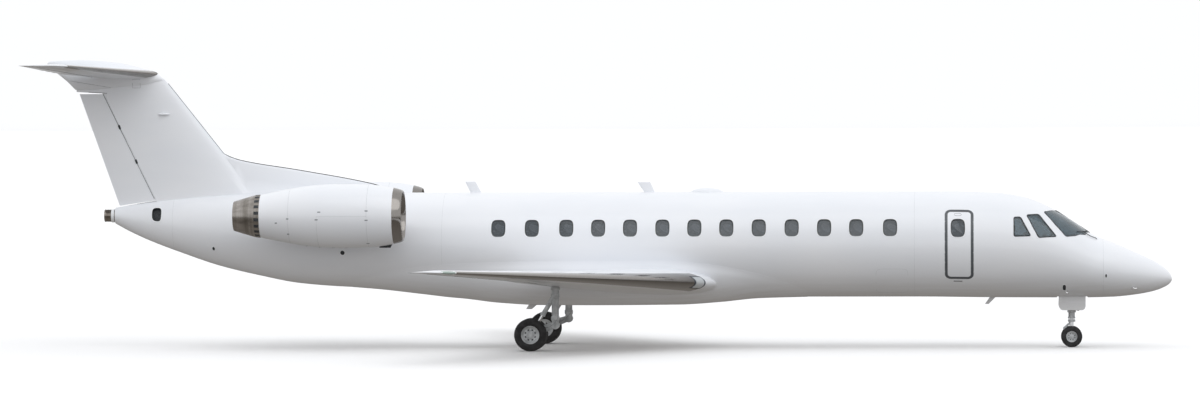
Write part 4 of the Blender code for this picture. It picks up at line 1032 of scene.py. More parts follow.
def section(point_at, at, front, rear, hinge=None):
    """One closed section of a surface from its front to its rear fraction.

    With a hinge, the rear wall is a hollow round the nose of the surface that hinges there.
    Points outside the two fractions fall together on them and are merged by the loft.
    """
    arc = []
    if hinge is not None:
        middle = (point_at(at, hinge, 1) + point_at(at, hinge, -1)) / 2
        outward = point_at(at, hinge, 1) - middle
        radius = outward.length
        hollow = radius + running_gap
        chord = abs(point_at(at, 1, 0).x - point_at(at, 0, 0).x)
        rear = hinge - math.sqrt(hollow ** 2 - radius ** 2) / chord
        lip = math.asin(radius / hollow)
        for i in range(1, rear_wall_points + 1):
            angle = -lip + 2 * lip * i / (rear_wall_points + 1)
            arc.append(middle + hollow * (Vector((1, 0, 0)) * math.cos(angle)
                                          + outward.normalized() * math.sin(angle)))
    else:
        low, high = point_at(at, rear, -1), point_at(at, rear, 1)
        arc = [low.lerp(high, i / (rear_wall_points + 1)) for i in range(1, rear_wall_points + 1)]
    places = [min(max(f, front), rear) for f in chord_places]
    upper = [point_at(at, f, 1) for f in places]
    lower = [point_at(at, f, -1) for f in reversed(places)]
    return upper + lower + arc


def nose_section(point_at, at, hinge, skin_points=12, nose_points=13):
    """One closed section of a hinged surface, round at its nose about the hinge."""
    upper_hinge, lower_hinge = point_at(at, hinge, 1), point_at(at, hinge, -1)
    middle = (upper_hinge + lower_hinge) / 2
    outward = upper_hinge - middle
    radius = outward.length
    ring = []
    for i in range(nose_points):
        angle = math.pi / 2 - math.pi * i / (nose_points - 1)
        ring.append(middle + radius * (Vector((1, 0, 0)) * math.cos(angle)
                                       + outward.normalized() * math.sin(angle)))
    fractions = [hinge + (1 - hinge) * i / skin_points for i in range(1, skin_points + 1)]
    ring += [point_at(at, f, -1) for f in fractions]
    ring += [point_at(at, f, 1) for f in reversed(fractions)]
    return ring


def right_copy(piece, name):
    """The right-hand copy of a left-hand piece."""
    mesh = bmesh.new()
    mesh.from_mesh(piece.data)
    bmesh.ops.transform(mesh, matrix=Matrix.Scale(-1, 4, (0, 1, 0)), verts=mesh.verts)
    bmesh.ops.reverse_faces(mesh, faces=mesh.faces)
    return new_object(name, mesh, piece.data.materials[0])


def spoiler_solid(extra=0.0, above=0.0):
    """A strip of the upper skin just ahead of the outboard flap. As a cutter it leaves extra."""
    rings = []
    sizes = spoiler_sizes
    for i in range(5):
        y = sizes["inner"] - extra + (sizes["outer"] - sizes["inner"] + 2 * extra) * i / 4
        chord = wing_trailing(y) - wing_leading(y)
        front = sizes["front"] - (2 * seat_gap if extra else 0) / chord
        back = sizes["back"] + extra / chord
        top = [wing_point(y, front + (back - front) * j / 6, 1) for j in range(7)]
        up, down = Vector((0, 0, above)), Vector((0, 0, sizes["depth"] + extra))
        rings.append([p + up for p in top] + [p - down for p in reversed(top)])
    return loft(rings, triangles=True)


def skin(name, rings, finish=paint):
    """An aircraft skin over its sections, in triangles."""
    return new_object(name, loft(rings, triangles=True), finish)


def polished_material(name, colour, roughness, streak_scale):
    """Polished bare aluminium sheet: a mirror gone slightly milky, with fine streaks from
    polishing along the edge and a few duller patches where rain has pitted it."""
    made, tree, shader, place = new_surface(name, Metallic=1.0, Roughness=roughness)
    run = add_node(tree, "ShaderNodeMapping", {"Vector": place, "Scale": streak_scale})
    streak = add_node(tree, "ShaderNodeTexNoise", {"Vector": run.outputs["Vector"], "Scale": 1.0,
                                                   "Detail": 6.0, "Roughness": 0.65})
    spread(tree, shader, streak.outputs["Fac"], ((0.3, srgb(colour, 0.84)), (0.7, srgb(colour))),
           gloss=(0.3, 0.8, roughness * 0.7, roughness * 1.5))
    return made


edge_aluminium = polished_material("polished_leading_edge_aluminium", "#938f8b", 0.14, (40, 3, 40))

polish_starts_y, end_gap, step = 1.42, 0.014, 0.001
rings = [section(wing_point, y, front, rear, hinge) for front, rear, hinge, places in (
    (leading_strip, inner_flap_front, None, (wing_root_y, 2.0, 3.0, wing_kink_y - step)),
    (leading_strip, flap_front, None, (wing_kink_y, 5.0, 6.0, aileron_in_y - running_gap)),
    (leading_strip, None, aileron_hinge, (aileron_in_y - running_gap + step, 8.4,
                                          aileron_out_y + end_gap)),
    (leading_strip, 1.0, None, (aileron_out_y + end_gap + step, wing_tip_y)),
    (0, 1.0, None, (wing_tip_y + step, wing_curve_y, 9.80, 9.85, 9.90, 9.94, 9.97, 9.99,
                    10.005, span / 2))) for y in places]
left_wing = skin("wing_left_skin", rings)
cut(left_wing, spoiler_solid(running_gap, 0.1))
strip = skin("wing_leading_edge_left_skin", [
    section(wing_point, y, 0, leading_strip - 0.0006 / (wing_trailing(y) - wing_leading(y)))
    for y in (polish_starts_y, 3.0, 5.0, 7.0, 9.0, wing_tip_y - step)], edge_aluminium)
root_nose = skin("wing_root_nose_left", [section(wing_point, y, 0, leading_strip - 0.0001)
                                         for y in (wing_root_y, polish_starts_y)])
for made in (root_nose, right_copy(root_nose, "wing_root_nose_right")):
    put(shade_by(made, wing_normal), slot="white_paint")
flaps = []
for name, front, inner, outer in (
        ("flap_inboard", inner_flap_front, flap_root_y, wing_kink_y - 0.003),
        ("flap_outboard", flap_front, wing_kink_y + 0.003, aileron_in_y - running_gap - 0.003)):
    flaps.append(skin(name + "_left_skin", [
        section(wing_point, y, front + 0.004 / (wing_trailing(y) - wing_leading(y)), 1.0)
        for y in (inner, (inner + outer) / 2, outer)]))
aileron = skin("aileron_left_skin", [nose_section(wing_point, y, aileron_hinge)
                                     for y in (aileron_in_y, 8.0, 8.8, aileron_out_y)])
spoiler = new_object("spoiler_left_skin", spoiler_solid(), paint)
for piece, node, body, slot in ((left_wing, "wing", "root", "white_paint"),
                                (strip, "wing_leading_edge", "root", "polished_aluminium"),
                                (flaps[0], "flap_inboard", "root", "white_paint"),
                                (flaps[1], "flap_outboard", "root", "white_paint"),
                                (aileron, "aileron", "aileron", "white_paint"),
                                (spoiler, "spoiler", "spoiler", "white_paint")):
    other = right_copy(piece, f"{node}_right_skin")
    for made, word in ((piece, "left"), (other, "right")):
        put(shade_by(made, wing_normal), "root" if body == "root" else f"{body}_{word}",
            f"{node}_{word}", slot=slot)


# Fin and rudder
# A swept fin whose leading edge runs down into a long dorsal fairing, and a rudder in one
# piece behind it on a raked hinge line.
fin_knee, fin_leading_slope, fin_top_z = (22.14, 4.54), 0.7947, 6.27
rudder_bottom, rudder_hinge_slope = (23.77, 3.44), 0.4884
rudder_trailing, rudder_trailing_slope, rudder_top_z = (24.61, 3.31), 0.3582, 6.00


def fin_ends(z):
    """Stations of the fin's leading edge, the rudder's hinge and its trailing edge."""
    return (fin_knee[0] + (z - fin_knee[1]) * fin_leading_slope,
            rudder_bottom[0] + (z - rudder_bottom[1]) * rudder_hinge_slope,
            rudder_trailing[0] + (z - rudder_trailing[1]) * rudder_trailing_slope)


def fin_point(z, fraction, side):
    """A point of the fin or rudder. side is 1 on the left skin, -1 on the right."""
    start, _, end = fin_ends(z)
    width = (end - start) * side * half_thickness(fraction, 0.108)
    return Vector((nose_x - start - (end - start) * fraction, width, z))


def rudder_hinge_fraction(z):
    """Where the rudder's hinge lies along the section."""
    start, hinge, end = fin_ends(z)
    return (hinge - start) / (end - start)


fin_normal = aerofoil_normal(fin_point, 2)
fin = skin("fin_skin", [section(fin_point, z, 0, None, rudder_hinge_fraction(z))
                        for z in (3.1, 3.6, 4.1, 4.6, 5.1, 5.6, rudder_top_z, fin_top_z)])
ridge_line = smooth_line([(18.05, 3.64), (18.65, 3.83), (20.35, 4.15), (21.76, 4.39), (22.14, 4.54),
                          (23.0, 5.4)])
dorsal_rings = []
for station in spaced(18.05, 22.6, 0.2):
    ridge, foot, deck = ridge_line(station), 3.35, hull_top(station)
    tall = ridge - deck
    half = 0.012 + 0.030 * min(1, (station - 18.05) / 2)
    rows = [(0.0, ridge), (0.4 * half, ridge - 0.06 * half), (0.75 * half, ridge - 0.28 * half),
            (half, ridge - half), (half + 0.02, ridge - 0.5 * tall - half),
            (half + 0.05, deck + 0.05 * tall + 0.01), (half + 0.10, deck - 0.02),
            (half + 0.10, foot)]
    dorsal_rings.append([spot(station, y, z) for y, z in rows]
                        + [spot(station, -y, z) for y, z in reversed(rows[1:])])
cut(fin, loft(dorsal_rings, triangles=True), operation="UNION")
put(smooth(fin, 40), "root", "fin", slot="white_paint")
rudder = skin("rudder_skin", [nose_section(fin_point, z, rudder_hinge_fraction(z))
                              for z in (3.2, 3.9, 4.6, 5.3, rudder_top_z - 0.04)])
rudder_foot_gap = 0.025
cut(rudder, hull_tube(spaced(22.9, cone_end, 0.15), rudder_foot_gap))
put(shade_by(rudder, fin_normal), "rudder", "rudder", slot="white_paint")


# Tailplane, elevators and the fairing on top of the fin
# The tailplane sits on the fin as one piece from tip to tip, with polished leading edges and
# an elevator on each side. A long bullet of glass fibre covers the joint.
tail_span, tail_z, tail_rise = 7.55, 6.42, 0.046
elevator_hinge, elevator_in_y, elevator_out_y, tail_strip = 0.66, 0.28, 3.42, 0.10
tail_curve_y = 3.5


def tail_point(y, fraction, side):
    """A point of the tailplane. side is 1 on the upper skin, -1 on the lower, 0 between them."""
    y_out = abs(y)
    start = 23.68 + 0.445 * y_out + 2.6 * max(0.0, y_out - tail_curve_y) ** 2
    chord = 25.93 + 0.106 * y_out - start
    ratio = thickness_ratio(y_out, 0.105, 0.02, tail_span / 2, tail_curve_y)
    lift = chord * side * half_thickness(fraction, ratio)
    return Vector((nose_x - start - chord * fraction, y, tail_z + tail_rise * y_out + lift))


tail_normal = mirrored_normal(aerofoil_normal(tail_point, 1))
half_rings = [section(tail_point, y, front, rear, hinge) for front, rear, hinge, places in (
    (tail_strip, None, elevator_hinge, (0.06, elevator_in_y - running_gap, 1.3, 2.4,
                                        elevator_out_y + end_gap)),
    (tail_strip, 1.0, None, (elevator_out_y + end_gap + step, tail_curve_y)),
    (0, 1.0, None, (tail_curve_y + step, 3.55, 3.60, 3.64, 3.68, 3.71, 3.74, 3.76, tail_span / 2)))
    for y in places]
other_rings = [[Vector((p.x, -p.y, p.z)) for p in ring] for ring in reversed(half_rings)]
put(shade_by(skin("tailplane_skin", other_rings + half_rings), tail_normal), "root",
    "stabilizer", slot="white_paint")
tail_strip_left = skin("tailplane_leading_edge_left", [
    section(tail_point, y, 0, tail_strip - 0.0003) for y in (0.06, 1.0, 2.0, 3.0, tail_curve_y)],
    edge_aluminium)
elevator = skin("elevator_left_skin", [nose_section(tail_point, y, elevator_hinge)
                                       for y in (elevator_in_y, 1.4, 2.5, elevator_out_y)])
for made in (tail_strip_left, right_copy(tail_strip_left, "tailplane_leading_edge_right")):
    put(shade_by(made, tail_normal), slot="polished_aluminium")
for made, node in ((elevator, "elevator_left"),
                   (right_copy(elevator, "elevator_right_skin"), "elevator_right")):
    put(shade_by(made, tail_normal), node, node, slot="white_paint")

bullet_top = smooth_line([(23.53, 6.285), (23.67, 6.40), (23.81, 6.48), (23.95, 6.53),
                          (24.10, 6.57), (24.6, 6.69), (25.55, 6.76), (26.26, 6.735),
                          (26.30, 6.72)])
bullet_bottom = smooth_line([(23.53, 6.255), (23.67, 6.20), (23.9, 6.13), (24.3, 6.09),
                             (25.60, 6.04), (25.83, 6.24), (26.30, 6.62)])
bullet_half = smooth_line([(23.53, 0.02), (23.6, 0.068), (23.75, 0.12), (23.9, 0.155), (24.3, 0.19),
                           (25.0, 0.19), (25.6, 0.16), (26.30, 0.03)])
bullet_rings = []
for station in spaced(23.53, 24.03, 0.04) + spaced(24.1, 26.30, 0.09):
    top, bottom, half = bullet_top(station), bullet_bottom(station), bullet_half(station)
    bullet_rings.append([spot(station, half * math.sin(a),
                              (top + bottom) / 2 + (top - bottom) / 2 * math.cos(a))
                         for a in around(40)])
bullet = shaped("fin_top_bullet", loft(bullet_rings), paint, 60)
put(bullet, "root", "fin_top_fairing", slot="white_paint")


def laid_on(pieces, points):
    """Points moved sideways until they lie on the outer one of some pieces."""
    made = []
    for point in points:
        side = math.copysign(1, point.y)
        hits = [piece.ray_cast(Vector((point.x, 3 * side, point.z)), Vector((0, -side, 0)))
                for piece in pieces]
        reach = max((abs(hit[1].y) for hit in hits if hit[0]), default=abs(point.y))
        made.append(Vector((point.x, side * reach, point.z)))
    return made


# The joint between the bullet and the cap under it, and a small access panel on each side.
cap_lines, panel_lines = [], []
for side in (1, -1):
    cap_lines.append([Vector((nose_x - 24.80 - 0.096 * i, 0.1 * side, 6.11 + 0.016 * i))
                      for i in range(11)])
    panel_lines.append([Vector((nose_x - 24.19 + 0.09 * c, 0.1 * side, 6.20 + 0.10 * s))
                        for c, s in ((-1, -1), (0, -1), (1, -1), (1, 0), (1, 1), (0, 1), (-1, 1),
                                     (-1, 0))])


# Auxiliary power unit
# Its inlet is a duct in a white enamelled rim, filled with black that paints the shade inside
# it. Its exhaust is a short pipe of stainless steel with a rolled end and a clamp, browned by
# heat. A dark cone deep in the pipe paints the shade of its bore.
# A black lining and throat fill the inlet's pocket: painted shade.
put(band("inlet_lining", inlet_outline(-0.006), inlet_outline(-0.001), -0.001,
         inlet_depth - 0.002, sealant_and_shade))
put(new_object("inlet_throat", outline_prism(inlet_outline(-0.007), -inlet_depth + 0.001, -0.07),
               sealant_and_shade))
put(band("inlet_rim", inlet_outline(), inlet_outline(0.022), 0.006, 0.003, frame_paint))


def heat_tinted_material(name, pale, dark, roughness):
    """Steel or nickel alloy that has run hot: satin brown-grey, with straw and grey bands round
    it from heat and welds, and soot drawn into streaks along the flow."""
    made, tree, shader, place = new_surface(name, Metallic=1.0, Roughness=roughness)
    bands = add_node(tree, "ShaderNodeMapping", {"Vector": place, "Scale": (9.0, 0.5, 0.5)})
    heat = add_node(tree, "ShaderNodeTexNoise", {"Vector": bands.outputs["Vector"], "Scale": 1.0,
                                                 "Detail": 3.0})
    flow = add_node(tree, "ShaderNodeMapping", {"Vector": place, "Scale": (0.8, 12.0, 12.0)})
    soot = add_node(tree, "ShaderNodeTexNoise", {"Vector": flow.outputs["Vector"], "Scale": 1.0,
                                                 "Detail": 2.0})
    amount = add_node(tree, "ShaderNodeMapRange", {"Value": soot.outputs["Fac"], "From Min": 0.45,
                                                   "From Max": 0.75, "To Max": 0.4})
    spread(tree, shader, heat.outputs["Fac"], ((0.35, srgb(dark)), (0.65, srgb(pale))),
           overlay=(amount.outputs["Result"], srgb("#4a433d")))
    return made


hot_steel = heat_tinted_material("heat_tinted_stainless_steel", "#a9a29a", "#7a736b", 0.22)
hot_nickel = heat_tinted_material("heat_tinted_nickel_alloy", "#aaa5a0", "#858079", 0.27)


def smooth_profile(points, steps=4):
    """A rounder profile through the given (distance, radius) points."""
    made, count = [], len(points)
    for i in range(count - 1):
        a, b, c, d = (np.array(points[min(max(j, 0), count - 1)]) for j in range(i - 1, i + 3))
        for k in range(steps):
            t = k / steps
            place = (2 * b + (c - a) * t + (2 * a - 5 * b + 4 * c - d) * t * t
                     + (3 * b - a - 3 * c + d) * t ** 3) / 2
            made.append((float(place[0]), float(place[1])))
    return made + [tuple(points[-1])]


pipe_profile = smooth_profile([(0, 0.146), (0.27, 0.146), (0.50, 0.143), (0.535, 0.147),
                               (0.55, 0.143), (0.545, 0.132)]) + [(0.45, 0.130), (0, 0.130)]
put(shaped("exhaust_pipe", turned(pipe_profile, pipe_middle, backwards, 72, closed=True),
           hot_steel, 40), "root", "apu_exhaust", slot="heat_tinted_metal")
clamp = [(0.315, 0.1465), (0.315, 0.158), (0.325, 0.160), (0.375, 0.160), (0.385, 0.155),
         (0.385, 0.1465)]
put(shaped("exhaust_clamp", turned(clamp, pipe_middle, backwards, 72, closed=True), frame_paint,
           30))
# A dark cone closes the pipe's bore: painted shade deep inside the pipe.
bore_shade = [(0.02, 0), (0.02, 0.1295), (0.05, 0.1295), (0.09, 0.06), (0.12, 0)]
put(new_object("exhaust_baffle", turned(bore_shade, pipe_middle, backwards, 48), sealant_and_shade))


# Engines
# Two turbofans on stub pylons. Each nacelle is white composite with a polished intake lip, an
# acoustic liner, a fan of titanium blades, and a nozzle of nickel alloy browned by heat.
engine_y, engine_z, fan_station, fan_radius = 2.20, 3.12, 18.80, 0.486
engine_middle = Vector((nose_x - fan_station, engine_y, engine_z))
nacelle_front, nacelle_end = 17.89, 20.97
nacelle_radius = smooth_line([(17.89, 0.650), (18.15, 0.695), (18.5, 0.725), (18.91, 0.735),
                              (19.38, 0.732), (19.9, 0.690), (20.4, 0.610), (20.97, 0.497)])
nozzle_radius = smooth_line([(20.97, 0.495), (21.05, 0.492), (21.30, 0.430), (21.60, 0.340)])


def about_engine(points, sides=96, closed=True):
    """Turns (station, radius) points about the left engine's axis."""
    return turned([(s - fan_station, r) for s, r in points], engine_middle, backwards, sides,
                  closed)


def on_engine(station, angle, radius):
    """A point about the left engine's axis. The angle is 0 at the top and grows outboard."""
    return spot(station, engine_y + radius * math.sin(angle), engine_z + radius * math.cos(angle))


def both_sides(piece, body="root", node=None, slot=None):
    """Puts a left-hand piece and its right-hand copy in place."""
    for made, word in ((piece, "left"), (right_copy(piece, piece.name.replace("left", "right")),
                                         "right")):
        stands_for = [node.replace("left", word)] if node else []
        put(made, body.replace("left", word), *stands_for, slot=slot)


def liner_material():
    """Perforated acoustic liner: satin grey sheet, dotted with holes drawn 12 mm apart, which is
    coarser than the real 3 mm so that they show."""
    made, tree, shader, place = new_surface("perforated_acoustic_liner", Roughness=0.5)
    holes = add_node(tree, "ShaderNodeTexVoronoi", {"Vector": place, "Scale": 80.0,
                                                    "Randomness": 0.1})
    spread(tree, shader, holes.outputs["Distance"],
           ((0.18, srgb("#4b4e52")), (0.30, srgb("#9b9ea2"))))
    return made


liner = liner_material()
titanium = polished_material("forged_titanium", "#a2a3a8", 0.33, (30, 6, 30))
engine_grey = polished_material("cast_engine_alloy", "#7f8083", 0.45, (12, 12, 12))

outer_skin = [(s, nacelle_radius(s)) for s in spaced(nacelle_front, nacelle_end, 0.11)]
duct = [(20.97, 0.455), (19.10, 0.4553), (19.05, 0.498), (18.6, 0.500), (18.1, 0.522),
        (17.89, 0.530)]
both_sides(shaped("nacelle_left_shell", about_engine(outer_skin + duct), paint, 40), "root",
           "nacelle_left", "white_paint")
lip_points = [(17.8897, 0.650), (17.80, 0.628), (17.73, 0.606), (17.69, 0.587), (17.68, 0.575),
              (17.69, 0.562), (17.74, 0.547), (17.8897, 0.530)]
both_sides(shaped("intake_lip_left_skin", about_engine(smooth_profile(lip_points)),
                  edge_aluminium, 50), "root", "intake_lip_left", "polished_aluminium")
both_sides(shaped("intake_liner_left", about_engine(
    [(17.90, 0.5285), (18.1, 0.5215), (18.6, 0.4995), (18.99, 0.4975), (18.99, 0.4945),
     (18.6, 0.4955), (18.1, 0.5175), (17.90, 0.5245)]), liner, 50))
nozzle_skin = [(s, nozzle_radius(s)) for s in spaced(nacelle_end + seat_gap, 21.60, 0.07)]
nozzle_skin += [(21.604, 0.331), (21.60, 0.322), (21.30, 0.405), (nacelle_end + seat_gap, 0.455)]
both_sides(shaped("exhaust_nozzle_left_skin", about_engine(nozzle_skin), hot_nickel, 40),
           "root", "exhaust_nozzle_left", "heat_tinted_metal")

core_shape = [(18.985, 0), (18.985, 0.06), (19.10, 0.06), (19.103, 0.4535), (20.58, 0.4535),
              (20.60, 0.23)]
core_shape += smooth_profile([(20.80, 0.225), (20.95, 0.195), (21.12, 0.12), (21.27, 0.035)])
both_sides(shaped("engine_core_left_casing", about_engine(core_shape + [(21.32, 0)],
                                                          closed=False), engine_grey, 40),
           "root", "engine_core_left", "engine_metal")
lobes, sheet = 14, 0.004
mixer_rings = [[on_engine(20.61 + 0.31 * back, a, 0.345 + 0.01 * back - inward
                          + 0.075 * back * math.cos(lobes * a)) for a in around(lobes * 12)]
               for back, inward in [(i / 6, 0) for i in range(7)]
               + [(1 - i / 6, sheet) for i in range(7)]]
both_sides(shaped("exhaust_mixer_left", loft(mixer_rings, closed=True), hot_nickel, 60))

spinner = [(-0.34, 0.0), (-0.32, 0.035), (-0.25, 0.083), (-0.13, 0.132), (0.03, 0.160)]
spinner_radius = smooth_line(spinner)
both_sides(shaped("fan_left_spinner", about_engine(
    [(fan_station + d, r) for d, r in smooth_profile(spinner + [(0.18, 0.163)])]
    + [(fan_station + 0.18, 0)], 64, closed=False), engine_grey, 50), "fan_left", "fan_left",
    "engine_metal")
swirl = [on_engine(fan_station + d, 9.0 * (d + 0.31), spinner_radius(d) + 0.001)
         for d in spaced(-0.31, -0.08, 0.006)]
both_sides(bead("fan_left_swirl", [swirl], 0.005, frame_paint, closed=False), "fan_left")


def vane(root, tip, rows, stagger_at, chord_at, thickness):
    """One twisted blade standing up from an engine's axis at the origin."""
    rings = []
    for i in range(rows + 1):
        share = i / rows
        radius, stagger, chord = root + (tip - root) * share, stagger_at(share), chord_at(share)
        ring = []
        for angle in around(14):
            along = math.cos(angle) * chord / 2
            across = (math.sin(angle) * thickness * (1 - 0.5 * share)
                      + 0.05 * chord * math.sin(angle) ** 2)
            x = along * math.cos(stagger) - across * math.sin(stagger)
            y = along * math.sin(stagger) + across * math.cos(stagger)
            ring.append((x, y, math.sqrt(radius ** 2 - y ** 2)))
        rings.append(ring)
    return loft(rings)


fan_blade = new_object("fan_blade", vane(0.150, fan_radius, 10, lambda s: 0.22 + 0.86 * s,
                                         lambda s: 0.115 + 0.06 * s, 0.0045))
both_sides(repeated("fan_left_blades", fan_blade, [
    (engine_middle, Matrix.Rotation(a, 3, "X")) for a in around(24)], titanium, 60), "fan_left")
stator = new_object("stator_vane", vane(0.075, 0.452, 4, lambda s: 0.5, lambda s: 0.07, 0.003))
both_sides(repeated("stator_vanes_left", stator, [
    (engine_middle - Vector((0.255, 0, 0)), Matrix.Rotation(a, 3, "X")) for a in around(36)],
    engine_grey, 60))

start, end, pylon_z = 18.35, nacelle_end - 0.02, 3.06
pylon = skin("pylon_left_skin", [[
    Vector((nose_x - start - f * (end - start), y,
            pylon_z + side * (end - start) * half_thickness(f, 0.105)))
    for side, places in ((1, chord_places), (-1, chord_places[::-1])) for f in places]
    for y in (0.7, 1.75)])
envelope = [(17.9, 0)] + [(s, r + seat_gap) for s, r in outer_skin] + [(nacelle_end, 0)]
cut(pylon, about_engine(envelope, 72, closed=False), hull_tube(spaced(18.0, 21.3, 0.15), seat_gap))
both_sides(smooth(pylon, 40), "root", "pylon_left", "white_paint")

# Seams between the cowls show as fine grey lines, and the latches as small plates across them.
panel_gap = clouded_material("grey_panel_gap_sealant", "#8a8f94", "#797e83", 0.5, scale=20.0)
cowl_lines = [[on_engine(s, a, nacelle_radius(s)) for a in around(72)] for s in (18.46, 20.28)]
hull_filler = clouded_material("pale_panel_joint_filler", "#c6cacd", "#b4b8bc", 0.4, scale=20.0)
both_sides(bead("cowl_seams_left", cowl_lines, 0.0028, hull_filler))
half_lines = [[on_engine(19.61, math.pi / 2 + math.pi * i / 36, nacelle_radius(19.61))
               for i in range(37)]]
half_lines += [[on_engine(s, angle, nacelle_radius(s)) for s in spaced(18.46, 19.61, 0.1)]
               for angle in (math.pi / 2, 1.5 * math.pi)]
both_sides(bead("cowl_edges_left", half_lines, 0.0025, hull_filler, closed=False))


def facing(normal, along=(1, 0, 0)):
    """A turn whose Z is a surface's outward direction and whose X runs nearly along a line."""
    normal, along = Vector(normal).normalized(), Vector(along)
    along = (along - normal * along.dot(normal)).normalized()
    return Matrix((along, normal.cross(along), normal)).transposed()


def small_plate(length, width, corner, height):
    """A small plate with round corners and an eased upper edge, lying on the XY plane."""
    def outline(inset, z):
        return [(math.copysign(length / 2 - corner, math.cos(a)) + (corner - inset) * math.cos(a),
                 math.copysign(width / 2 - corner, math.sin(a)) + (corner - inset) * math.sin(a), z)
                for a in (math.pi * (i + 0.5) / 10 for i in range(20))]
    return loft([outline(0, -height), outline(0, 0.6 * height), outline(0.25 * height, height)])


latch = new_object("latch", small_plate(0.075, 0.024, 0.011, 0.003))
latch_places = []
for station, degrees in ((18.46, 80), (18.46, 97), (18.46, 150), (19.61, 96), (19.55, 82),
                         (20.28, 95), (20.28, 130), (20.55, 105), (18.46, 200), (20.28, 200),
                         (19.0, 178), (19.3, 178), (19.6, 178), (19.9, 178)):
    angle = math.radians(degrees)
    latch_places.append((on_engine(station, angle, nacelle_radius(station)),
                         facing((0, math.sin(angle), math.cos(angle)))))
both_sides(repeated("cowl_latches_left", latch, latch_places, panel_gap))

# The nozzle's cooling slots are dark inserts in its skin that paint the shade inside the openings.
slot_turn, slot_shade_rings = 0.075, []
for station in spaced(nacelle_end + 0.01, nacelle_end + 0.12, 0.03):
    radius = nozzle_radius(station)
    slot_shade_rings.append([(fan_station - station, r * math.sin(a), r * math.cos(a))
                       for r, turns in ((radius + 0.001, (-slot_turn, -0.02, 0.02, slot_turn)),
                                        (radius - 0.006, (slot_turn, 0.02, -0.02, -slot_turn)))
                       for a in turns])
both_sides(repeated("nozzle_slots_left", new_object("cooling_slot", loft(slot_shade_rings)), [
    (engine_middle, Matrix.Rotation(2 * math.pi * (i + 0.5) / 20, 3, "X")) for i in range(20)],
    sealant_and_shade))
origin, upwards = (0, 0, 0), (0, 0, 1)
rivet = new_object("rivet", turned([(-0.002, 0), (-0.002, 0.007), (0.0008, 0.006), (0.002, 0.003),
                                    (0.0022, 0)], origin, upwards, 10))
rivet_places = []
for station, count in ((21.20, 48), (21.55, 36)):
    for angle in around(count):
        slope = (nozzle_radius(station - 0.01) - nozzle_radius(station + 0.01)) / 0.02
        rivet_places.append((on_engine(station, angle, nozzle_radius(station)),
                             facing((-slope, math.sin(angle), math.cos(angle)))))
both_sides(repeated("nozzle_rivets_left", rivet, rivet_places, hot_nickel, 50))


def blade_rings(base, tip, low, high, y, thickness):
    """Sections of a thin upright blade, from its base stations to its tip stations."""
    rings = []
    for share, shrink in ((0, 1), (0.5, 1), (0.9, 1), (0.98, 0.8), (1.0, 0.35)):
        front, back = (base[k] + (tip[k] - base[k]) * share for k in (0, 1))
        middle, half = (front + back) / 2, (back - front) / 2 * (0.9 + 0.1 * shrink)
        rings.append([Vector((nose_x - middle + half * math.cos(a),
                              y + thickness * shrink * math.sin(a) * (1 - 0.35 * math.cos(a)),
                              low + (high - low) * share)) for a in around(24)])
    return rings


drain = blade_rings((17.94, 18.22), (17.98, 18.24), 2.46, 2.385, engine_y, 0.012)
both_sides(shaped("cowl_drain_left", loft(drain), sealant_and_shade, 50))


# Antennas, probes and ports
# Blade antennas of painted composite, a low radome, pressure probes and vents of bare or black
# metal, all screwed to the hull on gaskets.
for name, base, tip, low, high in (
        ("antenna_aft", (16.06, 16.32), (16.22, 16.46), 3.60, 3.88),
        ("antenna_forward", (12.00, 12.24), (12.12, 12.42), 3.60, 3.86),
        ("antenna_belly_aft", (14.68, 14.92), (14.90, 15.04), 1.08, 0.89),
        ("antenna_belly_forward", (4.07, 4.21), (4.24, 4.33), 1.17, 1.00)):
    put(shaped(name, loft(blade_rings(base, tip, low, high, 0, 0.014)), paint, 50))
dome_rings = []
for i in range(13):
    share, z = math.cos(math.pi / 2 * i / 12), 3.605 + 0.112 * math.sin(math.pi / 2 * i / 12)
    dome_rings.append([Vector((nose_x - 10.79 + 0.38 * share * math.cos(a),
                               0.17 * share * math.sin(a), z)) for a in around(48)])
put(shaped("antenna_dome", loft(dome_rings), paint, 60))


def port(name, station, z, side, wide, tall, finish, bow=1.0):
    """A small port in a thin white rim, flush with the hull."""
    inside, rim = (rounded_outline(station, z, side, wide, tall, grow, bow, 24)
                   for grow in (0.0, 0.010))
    put(band(name + "_rim", inside, rim, 0.002, 0.002, frame_paint))
    put(new_object(name, outline_prism(inside, -0.004, 0.005), finish))


for side, word in ((1, "left"), (-1, "right")):
    port(f"rear_vent_{word}", 19.22, 2.245, side, 0.10, 0.10, sealant_and_shade)
    port(f"drain_port_{word}", 22.31, 2.335, side, 0.06, 0.08, sealant_and_shade)
    port(f"static_port_{word}", 1.54, 1.675, side, 0.04, 0.08, sealant_and_shade)
    port(f"vane_mount_{word}", 2.50, 1.40, side, 0.075, 0.125, sealant_and_shade, 0.7)
probe_lines = []
for side in (1, -1):
    for station, z, length in ((0.92, 1.41, 0.08), (2.46, 1.325, 0.05)):
        foot = hull_point(station, hull_turn(station, z, side), -0.01)
        out = hull_normal(hull_point(station, hull_turn(station, z, side)))
        reach = foot + out * 0.07
        probe_lines.append([foot, foot + out * 0.045, reach + Vector((0.02, 0, 0)),
                            reach + Vector((length, 0, 0))])
bare_probe = polished_material("nickel_plated_probe", "#f2f3f4", 0.3, (60, 60, 60))
put(bead("pressure_probes", probe_lines, 0.018, bare_probe, closed=False))
wiper_lines = []
for side in (1, -1):
    wiper_lines.append([hull_point(s, side * t, h) for s, t, h in (
        (1.74, 0.42, 0.0), (1.76, 0.43, 0.025), (1.90, 0.50, 0.03), (2.06, 0.50, 0.022))])
    wiper_lines.append([hull_point(s, side * t, 0.014) for s, t in (
        (1.95, 0.16), (2.0, 0.33), (2.08, 0.52), (2.2, 0.68))])
put(bead("windshield_wipers", wiper_lines, 0.009, sealant_and_shade, closed=False))

